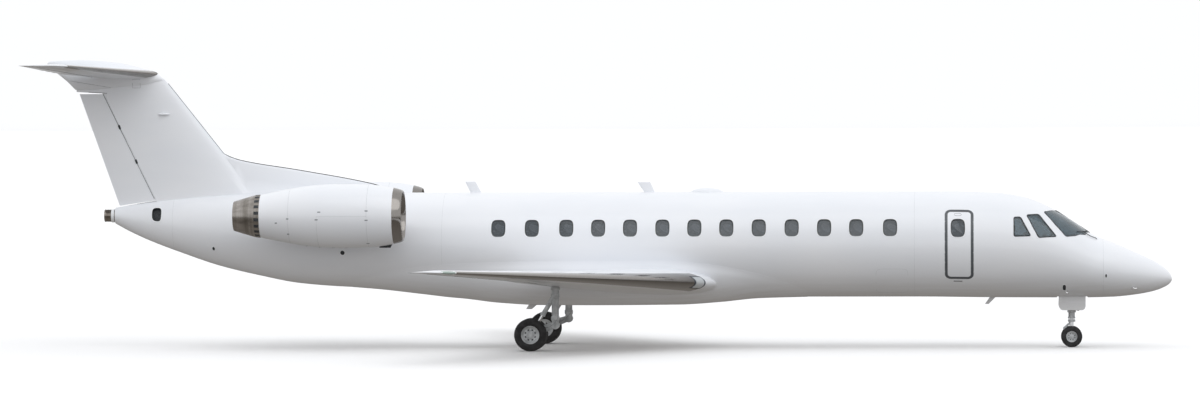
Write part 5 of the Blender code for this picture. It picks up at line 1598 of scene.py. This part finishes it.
# Hull panels meet in butt joints filled flush, which show as faint grey lines.
ring_seams = [[hull_point(s, a) for a in around(hull_sides)]
              for s in (radome_end, cabin_start, cabin_end, cone_start)]
put(bead("hull_seams", ring_seams, 0.0018, hull_filler))
hatch_lines = [on_hull(rounded_outline(6.47, 1.52, side, 0.74, 0.57, bow=0.25), 0.0002)
               for side in (1, -1)]
put(bead("hull_hatch_seams", hatch_lines, 0.0022, hull_filler))


# Fin and tailplane details
# Rubber blade seals close the gaps ahead of the control surfaces, and small hinge fairings,
# side blades and dark grey lines along the fin's leading edge and dorsal ridge stand on the fin.
gap_lines = [[fin_point(z, rudder_hinge_fraction(z) - 0.004, side)
              for z in spaced(3.5, rudder_top_z - 0.02, 0.25)] for side in (1, -1)]
# A wedge under the fin's cap closes the gap above the rudder towards its hinge.
wedge_rings, (_, wedge_front, wedge_back) = [], fin_ends(rudder_top_z)
for share in (0, 0.2, 0.4, 0.6, 0.8, 1.0):
    station = wedge_front - 0.12 + (wedge_back + 0.17 - wedge_front) * share
    half, foot = 0.080 - 0.048 * share, 5.967 + 0.044 * share
    wedge_rings.append([spot(station, y, z) for y, z in (
        (half, 6.10), (half, foot + 0.01), (half - 0.01, foot), (0.01 - half, foot),
        (-half, foot + 0.01), (-half, 6.10))])
wedge = shaped("rudder_head_wedge", loft(wedge_rings), paint, 30)
put(wedge)
fin_skin = bpy.data.objects["fin_skin"]
put(bead("fin_cap_seams", [laid_on((bullet, fin_skin, wedge), line) for line in cap_lines], 0.0035,
         panel_gap, closed=False))
put(bead("fin_cap_panels", [laid_on((bullet, fin_skin), line) for line in panel_lines], 0.003,
         panel_gap))
gap_lines += [[ring[corner] for ring in wedge_rings[:4]] for corner in (1, 4)]
# Dark beads along the hull under the rudder's foot paint the shadow in the gap between them.
foot_shadow_lines = [[hull_point(s, side * 0.15, 0.001) for s in spaced(23.42, 24.20, 0.1)]
              for side in (1, -1)]
for name, lines, radius, finish in (
        ("rudder_gap_seals", gap_lines, 0.005, sealant_and_shade),
        ("dorsal_erosion_strip", [[spot(s, 0, ridge_line(s) + 0.004)
                                   for s in spaced(18.3, 22.14, 0.12)]], 0.012, sealant_and_shade),
        ("rudder_foot_seals", foot_shadow_lines, 0.004, sealant_and_shade),
        ("fin_erosion_strip", [[fin_point(z, 0, 1) + Vector((0.001, 0, 0))
                                for z in spaced(4.45, 6.2, 0.15)]], 0.011, panel_gap)):
    put(bead(name, lines, radius, finish, closed=False))
hinge_cover = new_object("hinge_cover", small_plate(0.11, 0.05, 0.02, 0.008))
hinge_places = []
for z in (4.37, 5.18):
    for side in (1, -1):
        f = rudder_hinge_fraction(z) - 0.006
        hinge_places.append((fin_point(z, f, side), facing((0.1, side, 0), (0.4, 0, -1))))
put(repeated("rudder_hinge_covers", hinge_cover, hinge_places, sealant_and_shade))
side_blades = []
for side in (1, -1):
    rings = []
    for reach, shrink in ((0.0, 1), (0.05, 0.9), (0.09, 0.7), (0.10, 0.4)):
        rings.append([Vector((nose_x - 23.53 + 0.15 * shrink * math.cos(a) - 0.2 * reach,
                              side * (0.095 + reach), 5.48 + 0.03 * shrink * math.sin(a)))
                      for a in around(20)])
    side_blades.append(loft(rings[::side]))
put(shaped("fin_side_blades", merged(side_blades), paint, 50))

gap_lines = [[point_at(y, fraction, side) for y in spaced(first, last, 0.3)]
             for gaps in (
                 ((tail_point, elevator_hinge - 0.006, elevator_in_y, elevator_out_y),),
                 ((wing_point, aileron_hinge - 0.006, aileron_in_y, aileron_out_y),),
                 ((wing_point, inner_flap_front + 0.0005, flap_root_y, wing_kink_y - 0.01),
                  (wing_point, flap_front + 0.0005, wing_kink_y + 0.01, aileron_in_y - 0.02)))
             for side in (1, -1) for point_at, fraction, first, last in gaps]
both_sides(bead("control_gap_seals_left", gap_lines, 0.004, sealant_and_shade, closed=False))


# Lights and static wicks
# Clear and coloured acrylic lenses let into the leading edges, and thin carbon wicks that shed
# charge from the trailing edges.
def lens_material(name, colour, depth):
    """Moulded acrylic lens: saturated clear colour under a hard gloss, darker towards a ribbed
    inside that shows as fine bands."""
    made, tree, shader, place = new_surface(name, Roughness=0.08, IOR=1.49,
                                            Transmission_Weight=depth)
    ribs = add_node(tree, "ShaderNodeTexWave", {"Vector": place, "Scale": 25.0, "Distortion": 0.3})
    spread(tree, shader, ribs.outputs["Fac"], ((0.0, srgb(colour, 0.75)), (1.0, srgb(colour))))
    return made


clear_lens = lens_material("clear_acrylic_lens", "#eef3f6", 0.3)
lamp_rim = clouded_material("dark_blue_lamp_surround", "#323b48", "#272e39", 0.3)


def edge_lens(name, first, last, depth, proud, finish):
    """A lens that wraps the wing's leading edge between two distances from the middle."""
    rings = []
    for y in spaced(first, last, (last - first) / 6):
        nose = wing_point(y, 0, 1)
        rings.append([nose + (p - nose) * (1 + proud / 0.1) + Vector((proud, 0, 0))
                      for p in section(wing_point, y, 0, depth)])
    return shaped(name, loft(rings, triangles=True), finish, 50)


both_sides(edge_lens("landing_lamp_rim_left", 1.40, 1.78, 0.035, 0.0015, lamp_rim))
both_sides(edge_lens("landing_lamp_left", 1.45, 1.73, 0.024, 0.006, clear_lens))
for side, word, colour in ((1, "left", "#e6ccc9"), (-1, "right", "#cfe0d8")):
    lens = edge_lens(f"navigation_lamp_{word}", 9.70, 9.93, 0.11, 0.003,
                     lens_material(f"{word}_navigation_lens", colour, 0.4))
    if side < 0:
        other = right_copy(lens, lens.name + "_lens")
        bpy.data.objects.remove(lens, do_unlink=True)
        lens = other
    put(lens)
lamp_shape = [(-0.02, 0)] + smooth_profile([(-0.008, 0.022), (0.008, 0.022), (0.024, 0.019),
                                            (0.034, 0.010), (0.036, 0.0)])
put(shaped("tail_lamp", turned(lamp_shape, spot(26.28, 0, 6.675), backwards, 24), clear_lens, 50))
wick = new_object("static_wick", turned([(-0.02, 0), (-0.02, 0.004), (0.02, 0.004), (0.03, 0.0022),
                                         (0.10, 0.0015), (0.10, 0)], origin, backwards, 8))
level = Matrix.Identity(3)
tail_wick = new_object("tail_wick", wick.data.copy())
for name, piece, point_at, places, body in (
        ("static_wicks_left", wick, wing_point, (9.68, 9.82), "root"),
        ("elevator_wicks_left", tail_wick, tail_point, (0.7, 1.2, 1.7), "elevator_left")):
    both_sides(repeated(name, piece, [(point_at(y, 0.998, 1), level) for y in places], sealant_and_shade, 50),
               body)


# Wheels
# Forged alloy wheels in pale enamel, bolted in two halves, with cross-ply tyres whose treads
# have four grooves round them. Twin wheels turn together on one axle.
wheel_facet = math.cos(math.pi / 16)


def rubber_material():
    """Vulcanised tyre rubber: a soft dull black, greyer on the worn tread, with a fine grain and
    some pale brake and runway dust."""
    made, tree, shader, place = new_surface("vulcanised_tyre_rubber", Roughness=0.78)
    dust = add_node(tree, "ShaderNodeTexNoise", {"Vector": place, "Scale": 9.0, "Detail": 5.0})
    spread(tree, shader, dust.outputs["Fac"], ((0.4, srgb("#1d1d1e")), (0.75, srgb("#39383a"))))
    grain = add_node(tree, "ShaderNodeTexNoise", {"Vector": place, "Scale": 400.0, "Detail": 2.0})
    spread(tree, shader, grain.outputs["Fac"], bump=(0.3, 0.001))
    return made


rubber = rubber_material()
# Epoxy gear enamel is a satin pale grey, dulled in patches by a film of oil and brake dust.
gear_enamel = clouded_material("pale_grey_epoxy_enamel", "#c9ccce", "#a3a6a8")
brake_carbon = clouded_material("carbon_brake_disc", "#4a4a4c", "#2e2e30")


def joined(name, meshes, finish, degrees=35):
    """Several closed meshes as one piece."""
    return shaped(name, merged(meshes), finish, degrees)


def rod(first, second, radius, sides=32, ease=0.004):
    """A round bar with eased ends."""
    first, second = Vector(first), Vector(second)
    length = (second - first).length
    return turned([(0, 0), (0, radius - ease), (ease, radius), (length - ease, radius),
                   (length, radius - ease), (length, 0)], first, second - first, sides)


def tyre_profile(width, rim, outside):
    """(distance, radius) round a tyre's section, with four grooves in its tread."""
    half = smooth_profile([(0.36, -0.03), (0.43, 0.06), (0.495, 0.36), (0.475, 0.66), (0.40, 0.87),
                           (0.31, 0.955)], 3)
    for groove in (0.18, 0.06):
        crown = 1 - 0.35 * groove ** 2
        half += [(groove + 0.02, crown), (groove + 0.014, crown - 0.05),
                 (groove - 0.014, crown - 0.05), (groove - 0.02, crown)]
    whole = half + [(0, 1.0)] + [(-f, share) for f, share in reversed(half)]
    return [(f * width, rim + share * (outside - rim)) for f, share in whole]


hub_profile = [(-0.40, 0), (-0.40, 0.10), (-0.385, 0.17), (-0.34, 0.20), (-0.34, 0.29),
               (-0.30, 0.33), (-0.21, 0.40), (-0.17, 0.58), (-0.20, 0.78), (-0.30, 0.88),
               (-0.40, 0.93), (-0.44, 0.97), (-0.45, 1.01), (-0.42, 1.03), (-0.36, 1.0),
               (0.36, 1.0), (0.42, 1.03), (0.45, 1.01), (0.42, 0.95), (0.20, 0.94), (0.20, 0.24)]
hex_nut = [(-0.004, 0), (-0.004, 0.011), (0.009, 0.011), (0.012, 0.009), (0.012, 0)]


def twin_wheels(radius, width, rim, spacing, axle, centre):
    """Tyres, alloy halves with their axle and nuts of two wheels on one axle, with dark plates that
    paint the shade in their cooling holes.
    """
    tyres, alloy, nut_places, hole_shade_places = [], [], [], []
    for side in (1, -1):
        def along(places):
            return [(side * (spacing + d), r) for d, r in places]
        tyres.append(turned(along(tyre_profile(width, rim, radius * wheel_facet)), centre,
                            (0, 1, 0), 72, closed=True))
        hub = [(-f * width, share * rim) for f, share in hub_profile] + [(-0.20 * width, 0)]
        alloy.append(turned(along(hub), centre, (0, 1, 0), 64))
        for angle in around(8):
            ring = Vector((math.cos(angle), 0, math.sin(angle)))
            off = Vector((0, side * (spacing + 0.182 * width), 0))
            nut_places.append((centre + off + ring * 0.66 * rim, facing((0, side, 0))))
            ring = Vector((math.cos(angle + 0.39), 0, math.sin(angle + 0.39)))
            hole_shade_places.append((centre + off + ring * 0.56 * rim, facing((0, side, 0), ring)))
    alloy.append(rod(centre - Vector((0, spacing, 0)), centre + Vector((0, spacing, 0)), axle))
    return tyres, alloy, nut_places, hole_shade_places


nose_gear_x = nose_x - 2.32
nose_axle = Vector((nose_gear_x, 0, 0.25 * wheel_facet))
tyres, alloy, nuts, holes = twin_wheels(0.25, 0.165, 0.125, 0.145, 0.030, nose_axle)
put(joined("nose_tyres", tyres, rubber), "nose_wheels", "nose_wheels", slot="tyre_rubber")
put(joined("nose_wheel_alloys", alloy, gear_enamel), "nose_wheels", slot="gear_paint")
nut = new_object("wheel_nut", turned([(d, r * 0.7) for d, r in hex_nut], origin, upwards, 6))
put(repeated("nose_wheel_nuts", nut, nuts, bare_probe, 30), "nose_wheels")
# Thin dark plates on the wheels paint the shade inside their cooling holes.
hole_shade = new_object("wheel_hole", small_plate(0.026, 0.020, 0.0095, 0.001))
put(repeated("nose_wheel_holes", hole_shade, holes, sealant_and_shade, 30), "nose_wheels")
main_axle = Vector((nose_x - 14.75, 2.05, 0.385 * wheel_facet))
tyres, alloy, nuts, holes = twin_wheels(0.385, 0.235, 0.205, 0.190, 0.050, main_axle)
wheels = "main_wheels_left"
both_sides(joined("main_tyres_left", tyres, rubber), wheels, wheels, "tyre_rubber")
both_sides(joined("main_wheel_alloys_left", alloy, gear_enamel), wheels, slot="gear_paint")
nut = new_object("wheel_nut", turned(hex_nut, origin, upwards, 6))
both_sides(repeated("main_wheel_nuts_left", nut, nuts, bare_probe, 30), wheels)
hole_shade = new_object("wheel_hole", small_plate(0.045, 0.034, 0.016, 0.001))
both_sides(repeated("main_wheel_holes_left", hole_shade, holes, sealant_and_shade, 30), wheels)
brakes = []
for side in (1, -1):
    disc_stack = [(0.076, 0.055), (0.076, 0.13), (0.086, 0.135)]
    for d in (0.088, 0.101, 0.114, 0.127):
        disc_stack += [(d, 0.150), (d, 0.183), (d + 0.009, 0.183), (d + 0.009, 0.150)]
    disc_stack += [(0.138, 0.055)]
    brakes.append(turned([(side * d, r) for d, r in disc_stack], main_axle, (0, 1, 0), 48,
                         closed=True))
both_sides(joined("main_brakes_left", brakes, brake_carbon))


# Landing gear legs
# Machined steel forgings in pale enamel with hard-chromed pistons, torque links, drag braces and
# rigid hydraulic pipes. The main gear has trailing arms, the nose gear is steered.
chrome = polished_material("hard_chromed_steel", "#e2e3e5", 0.07, (30, 30, 30))
stainless_pipe = polished_material("drawn_stainless_pipe", "#a9abad", 0.28, (50, 50, 50))


def side_view(points):
    """(station, height) points as (x, height) points."""
    return [(nose_x - s, z) for s, z in points]


def plate(outline, low, high, ease=0.004):
    """A flat part cut to an outline of (x, z) points between two widths, with eased edges."""
    middle = Vector((sum(x for x, _ in outline), 0, sum(z for _, z in outline))) / len(outline)

    def ring(y, inset):
        points = []
        for x, z in outline:
            reach = Vector((x, 0, z)) - middle
            place = middle + reach * (1 - inset / max(reach.length, 0.01))
            points.append((place.x, y, place.z))
        return points
    return loft([ring(low, ease), ring(low + ease, 0), ring(high - ease, 0), ring(high, ease)])


def crossbar(x, z, half, radius, y=0, ease=0.004):
    """A rod that runs from side to side, by half its length either way of y."""
    return rod((x, y - half, z), (x, y + half, z), radius, ease=ease)


x, axle_z = nose_gear_x, nose_axle.z
leg_foot = 0.66
leg = [rod((x, 0, nose_bay_top - seat_gap), (x, 0, leg_foot), 0.075),
       rod((x, 0, 0.98), (x, 0, 0.80), 0.10, ease=0.012), crossbar(x, 1.40, 0.22, 0.045),
       crossbar(x, 1.40, 0.09, 0.075, ease=0.01),
       rod((x, 0, 1.02), (x + 0.27, 0, nose_bay_top - 0.03), 0.033),
       crossbar(x, 1.03, 0.06, 0.045), rod((x, 0, 0.70), (x, 0, leg_foot), 0.086),
       crossbar(x - 0.03, 0.89, 0.13, 0.032)]
leg += [plate([(x + 0.09, 0.95), (x + 0.14, 0.93), (x + 0.14, 0.87), (x + 0.09, 0.84)], y - 0.01,
              y + 0.01) for y in (-0.08, 0.08)]
put(joined("nose_leg_casting", leg, gear_enamel), "root", "nose_leg", slot="gear_paint")
for name, finish, lamp_profile in (
        ("taxi_lamp_housings", gear_enamel, [(0, 0), (0, 0.062), (-0.05, 0.055), (-0.08, 0.02),
                                             (-0.08, 0)]),
        ("taxi_lamp_lenses", clear_lens, [(0.0005, 0), (0.0005, 0.056), (0.006, 0.050),
                                          (0.010, 0.025), (0.011, 0)])):
    put(joined(name, [turned(lamp_profile, (x + 0.17, y, 0.90), (1, 0, 0), 32)
                      for y in (-0.08, 0.08)], finish))
put(bead("nose_gear_pipes", [[Vector((x - 0.05, y, z)) for y, z in (
    (s * 0.06, 1.45), (s * 0.07, 1.3), (s * 0.068, 1.1), (s * 0.085, 1.0), (s * 0.09, 0.88),
    (s * 0.06, 0.78), (s * 0.055, 0.70))] for s in (1, -1)], 0.007, stainless_pipe, closed=False))
put(joined("nose_piston", [rod((x, 0, leg_foot + 0.09), (x, 0, axle_z + 0.03), 0.0475)], chrome),
    "steering")
link = [(x - 0.03, 0.60), (x - 0.20, 0.45), (x - 0.20, 0.41), (x - 0.03, 0.28), (x - 0.03, 0.34),
        (x - 0.15, 0.43), (x - 0.03, 0.54)]
fork = [crossbar(x, axle_z, 0.055, 0.062), rod((x, 0, 0.33), (x, 0, 0.27), 0.058),
        rod((x, 0, leg_foot - 0.02), (x, 0, leg_foot - 0.075), 0.085),
        plate(link, -0.030, -0.014), plate(link, 0.014, 0.030),
        crossbar(x - 0.185, 0.43, 0.042, 0.016), crossbar(x - 0.04, 0.57, 0.04, 0.02),
        crossbar(x - 0.04, 0.31, 0.04, 0.02)]
put(joined("nose_fork_casting", fork, gear_enamel), "steering", "nose_fork", slot="gear_paint")

top, low = 1.36, 0.86
door_outline = side_view([(2.00, top), (2.60, top), (2.62, low + 0.12), (2.605, low + 0.06),
                          (2.575, low + 0.02), (2.54, low), (2.08, low), (2.04, low + 0.015),
                          (2.012, low + 0.05), (2.00, low + 0.10)])
outside = nose_bay_half - seat_gap
both_sides(joined("nose_gear_door_left_skin",
                  [plate(door_outline, outside - 0.022, outside, 0.003)], paint, 30),
           "root", "nose_gear_door_left", "white_paint")
stiffeners = [plate([(nose_x - s + dx, z) for dx, z in (
    (0.012, low + 0.04), (0.012, 1.33), (-0.012, 1.33), (-0.012, low + 0.04))],
    outside - 0.036, outside - 0.022) for s in (2.12, 2.31, 2.50)]
both_sides(joined("nose_gear_door_left_ribs", stiffeners, gear_enamel))

knee_x, knee_z, y = nose_x - 14.19, 0.60, 2.05
axle_x, axle_z = main_axle.x, main_axle.z
shock_foot, shock_head = Vector((axle_x + 0.06, y, axle_z + 0.10)), Vector((knee_x - 0.02, y, 1.28))
barrel_foot = shock_foot.lerp(shock_head, 0.42)
arm = [(knee_x, knee_z + 0.075), (knee_x, knee_z - 0.075), (axle_x, axle_z - 0.085),
       (axle_x, axle_z + 0.085), (axle_x + 0.10, axle_z + 0.17)]
web = [(knee_x - 0.06, knee_z + 0.03), (knee_x - 0.06, knee_z - 0.05),
       (axle_x + 0.07, axle_z - 0.04), (axle_x + 0.10, axle_z + 0.11)]
leg = [rod((knee_x, y, 1.62), (knee_x, y, knee_z), 0.085),
       rod((knee_x, y, 1.47), (knee_x, y, 1.40), 0.105),
       rod((knee_x, y, 1.32), (knee_x, y, 1.22), 0.10, ease=0.015),
       rod((knee_x, y, 0.80), (knee_x, y, 0.70), 0.10, ease=0.012),
       crossbar(knee_x, knee_z, 0.065, 0.10, y), crossbar(knee_x, knee_z, 0.085, 0.045, y),
       plate(arm, y - 0.038, y + 0.038), plate(web, y - 0.045, y + 0.045, 0.008),
       crossbar(axle_x, axle_z, 0.060, 0.095, y),
       rod(shock_head, shock_head + Vector((-0.004, 0, 0.03)), 0.06),
       rod(barrel_foot, shock_head, 0.055),
       rod(barrel_foot, barrel_foot.lerp(shock_head, 0.06), 0.062),
       rod(shock_foot - Vector((0, 0.045, 0)), shock_foot + Vector((0, 0.045, 0)), 0.042),
       rod(shock_head - Vector((0, 0.07, 0)), shock_head + Vector((0, 0.07, 0)), 0.035)]
both_sides(joined("main_leg_left_forging", leg, gear_enamel), "root", "main_leg_left", "gear_paint")
both_sides(joined("main_shock_piston_left", [rod(shock_foot, barrel_foot.lerp(shock_head, 0.1),
                                                 0.034)], chrome))
pipes = [[Vector((knee_x + dx, y + side * dy, z)) for dx, dy, z in (
    (0.07, 0.06, 1.50), (0.075, 0.06, 1.36), (0.078, 0.065, 1.27), (0.07, 0.06, 1.10),
    (0.07, 0.06, 0.86), (0.06, 0.085, 0.75), (0.0, 0.095, 0.66), (-0.12, 0.06, 0.56),
    (-0.40, 0.055, 0.49), (-0.50, 0.065, 0.44))] for side in (1, -1)]
both_sides(bead("main_gear_pipes_left", pipes, 0.008, stainless_pipe, closed=False))


# Cockpit
# A moulded instrument panel with glass screens under a vinyl hood, a centre pedestal, two
# control wheels, and two seats with sewn cloth pads on grey shells.
def grained_material(name, pale, dark, grain_scale, roughness):
    """Moulded plastic or vinyl: even and dull, with a fine pebbled grain that catches light."""
    made, tree, shader, place = new_surface(name, Roughness=roughness)
    pebbles = add_node(tree, "ShaderNodeTexVoronoi", {"Vector": place, "Scale": grain_scale})
    spread(tree, shader, pebbles.outputs["Distance"], ((0.0, srgb(pale)), (1.0, srgb(dark))),
           bump=(0.2, 0.001))
    return made


def cloth_material():
    """Woven wool seat cloth: dark blue-grey yarn, drawn 4 mm apart so that it shows, soft at
    glancing angles where the fibres stand up."""
    made, tree, shader, place = new_surface("woven_wool_seat_cloth", Roughness=0.9,
                                            Sheen_Weight=0.4)
    woven = add_node(tree, "ShaderNodeMath", operation="MULTIPLY")
    for i, yarn in enumerate("YZ"):
        yarns = add_node(tree, "ShaderNodeTexWave", {"Vector": place, "Scale": 80.0},
                         bands_direction=yarn)
        tree.links.new(yarns.outputs["Fac"], woven.inputs[i])
    spread(tree, shader, woven.outputs["Value"], ((0.0, srgb("#2a313b")), (1.0, srgb("#48525f"))),
           bump=(0.4, 0.002))
    return made


panel_plastic = grained_material("moulded_grey_panel_plastic", "#6a6e72", "#4b4f53", 220.0, 0.55)
hood_vinyl = grained_material("black_hood_vinyl", "#2a2b2d", "#18191a", 180.0, 0.7)
screen_glass = pane_material("dark_display_glass", "#12171c", 0.05)
seat_cloth = cloth_material()
floor_level = cabin_floor + seat_gap
panel_shape = side_view([(2.30, floor_level), (2.64, floor_level), (2.64, 2.20), (2.72, 2.46),
                         (2.72, 2.52), (2.30, 2.48)])
pedestal = side_view([(2.31, floor_level), (3.22, floor_level), (3.22, 2.05), (2.62, 2.25),
                      (2.31, 2.25)])
put(joined("instrument_panel_moulding", [plate(panel_shape, -0.70, 0.70),
                                         plate(pedestal, -0.16, 0.16)], panel_plastic, 30),
    "root", "instrument_panel", slot="panel_plastic")
hood = side_view([(2.31, 2.485), (2.70, 2.525), (2.80, 2.505), (2.81, 2.52), (2.70, 2.545),
                  (2.31, 2.50)])
put(joined("panel_hood", [plate(hood, -0.68, 0.68)], hood_vinyl, 40))
panel_out = Vector((-0.956, 0, -0.294))
screen = new_object("screen", small_plate(0.19, 0.20, 0.012, 0.004))
put(repeated("panel_screens", screen, [(spot(2.681, y, 2.33), facing(panel_out, (0, 1, 0)))
                                       for y in (-0.52, -0.29, 0, 0.29, 0.52)], screen_glass))
knob = new_object("knob", turned([(-0.002, 0), (-0.002, 0.012), (0.016, 0.010), (0.018, 0.008),
                                  (0.018, 0)], origin, upwards, 16))
put(repeated("pedestal_knobs", knob, [
    (spot(s, y, 2.25 - (s - 2.62) / 3), level) for s in (2.75, 2.83, 2.91, 3.08)
    for y in (-0.11, -0.04, 0.04, 0.11)], hood_vinyl))
yoke_lines = []
for y in (0.46, -0.46):
    yoke_lines.append([spot(s, y, z) for s, z in ((2.63, 2.18), (2.80, 2.22), (2.90, 2.24))])
    yoke_lines.append([spot(2.90, y + dy, z) for dy, z in (
        (-0.15, 2.33), (-0.155, 2.27), (-0.12, 2.215), (-0.04, 2.235), (0.04, 2.235),
        (0.12, 2.215), (0.155, 2.27), (0.15, 2.33))])
put(bead("control_wheels", yoke_lines, 0.014, hood_vinyl, closed=False))


def cushion(name, centre, turn, length, width, thick, channels):
    """A sewn pad: crowned, pulled in between its corners, with channels across and a welt."""
    steps, mesh = 24, bmesh.new()

    def place(u, v, side):
        rise = math.sqrt((1 - u ** 4) * (1 - v ** 4))
        sewn = 0.16 * sum(math.exp(-((v - c) / 0.045) ** 2) for c in channels)
        x = length / 2 * u * math.sqrt(1 - 0.16 * v * v) * (1 - 0.03 * (1 - v * v))
        y = width / 2 * v * math.sqrt(1 - 0.16 * u * u) * (1 - 0.03 * (1 - u * u))
        return centre + turn @ Vector((x, y, side * thick / 2 * rise * (1 - sewn)))
    for side in (1, -1):
        grid = [[mesh.verts.new(place(2 * i / steps - 1, 2 * j / steps - 1, side))
                 for j in range(steps + 1)] for i in range(steps + 1)]
        for i in range(steps):
            for j in range(steps):
                mesh.faces.new((grid[i][j], grid[i + 1][j], grid[i + 1][j + 1], grid[i][j + 1]))
    bmesh.ops.remove_doubles(mesh, verts=mesh.verts, dist=0.0002)
    bmesh.ops.recalc_face_normals(mesh, faces=mesh.faces)
    edge = [(2 * i / steps - 1, -1) for i in range(steps)]
    edge += [(1, 2 * i / steps - 1) for i in range(steps)]
    edge += [(-u, -v) for u, v in edge]
    welt = bead(name + "_welt", [[place(u, v, 1) for u, v in edge]], 0.004, seat_cloth)
    return smooth(new_object(name, mesh, seat_cloth), 80), welt


shell_back = side_view([(3.56, 2.06), (3.655, 2.50), (3.675, 2.84), (3.70, 2.84), (3.715, 2.50),
                        (3.62, 2.00), (3.10, 2.00), (3.08, 2.03)])
column = side_view([(3.20, floor_level), (3.50, floor_level), (3.44, 2.01), (3.24, 2.01)])
arm_rest = side_view([(3.22, 2.26), (3.60, 2.28), (3.61, 2.31), (3.22, 2.30)])
for node, y in (("pilot_seat_left", 0.46), ("pilot_seat_right", -0.46)):
    parts = [plate(shell_back, y - 0.20, y + 0.20), plate(column, y - 0.13, y + 0.13),
             plate(arm_rest, y - 0.22, y - 0.18), plate(arm_rest, y + 0.18, y + 0.22)]
    put(joined(node + "_shell", parts, panel_plastic, 30), "root", node, slot="panel_plastic")
    for part, s, z, lean, length, wide, thick, channels in (
            ("base", 3.29, 2.075, 0.04, 0.44, 0.40, 0.085, (-0.4, 0.4)),
            ("back", 3.61, 2.37, 1.32, 0.50, 0.40, 0.085, (-0.4, 0.4)),
            ("head", 3.655, 2.76, 1.52, 0.17, 0.28, 0.07, ())):
        for made in cushion(f"{node}_{part}_pad", spot(s, y, z), Matrix.Rotation(lean, 3, "Y"),
                            length, wide, thick, channels):
            put(made, "root", node, slot="seat_cloth")


# Overall bounds of the objects that are shown
low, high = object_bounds()
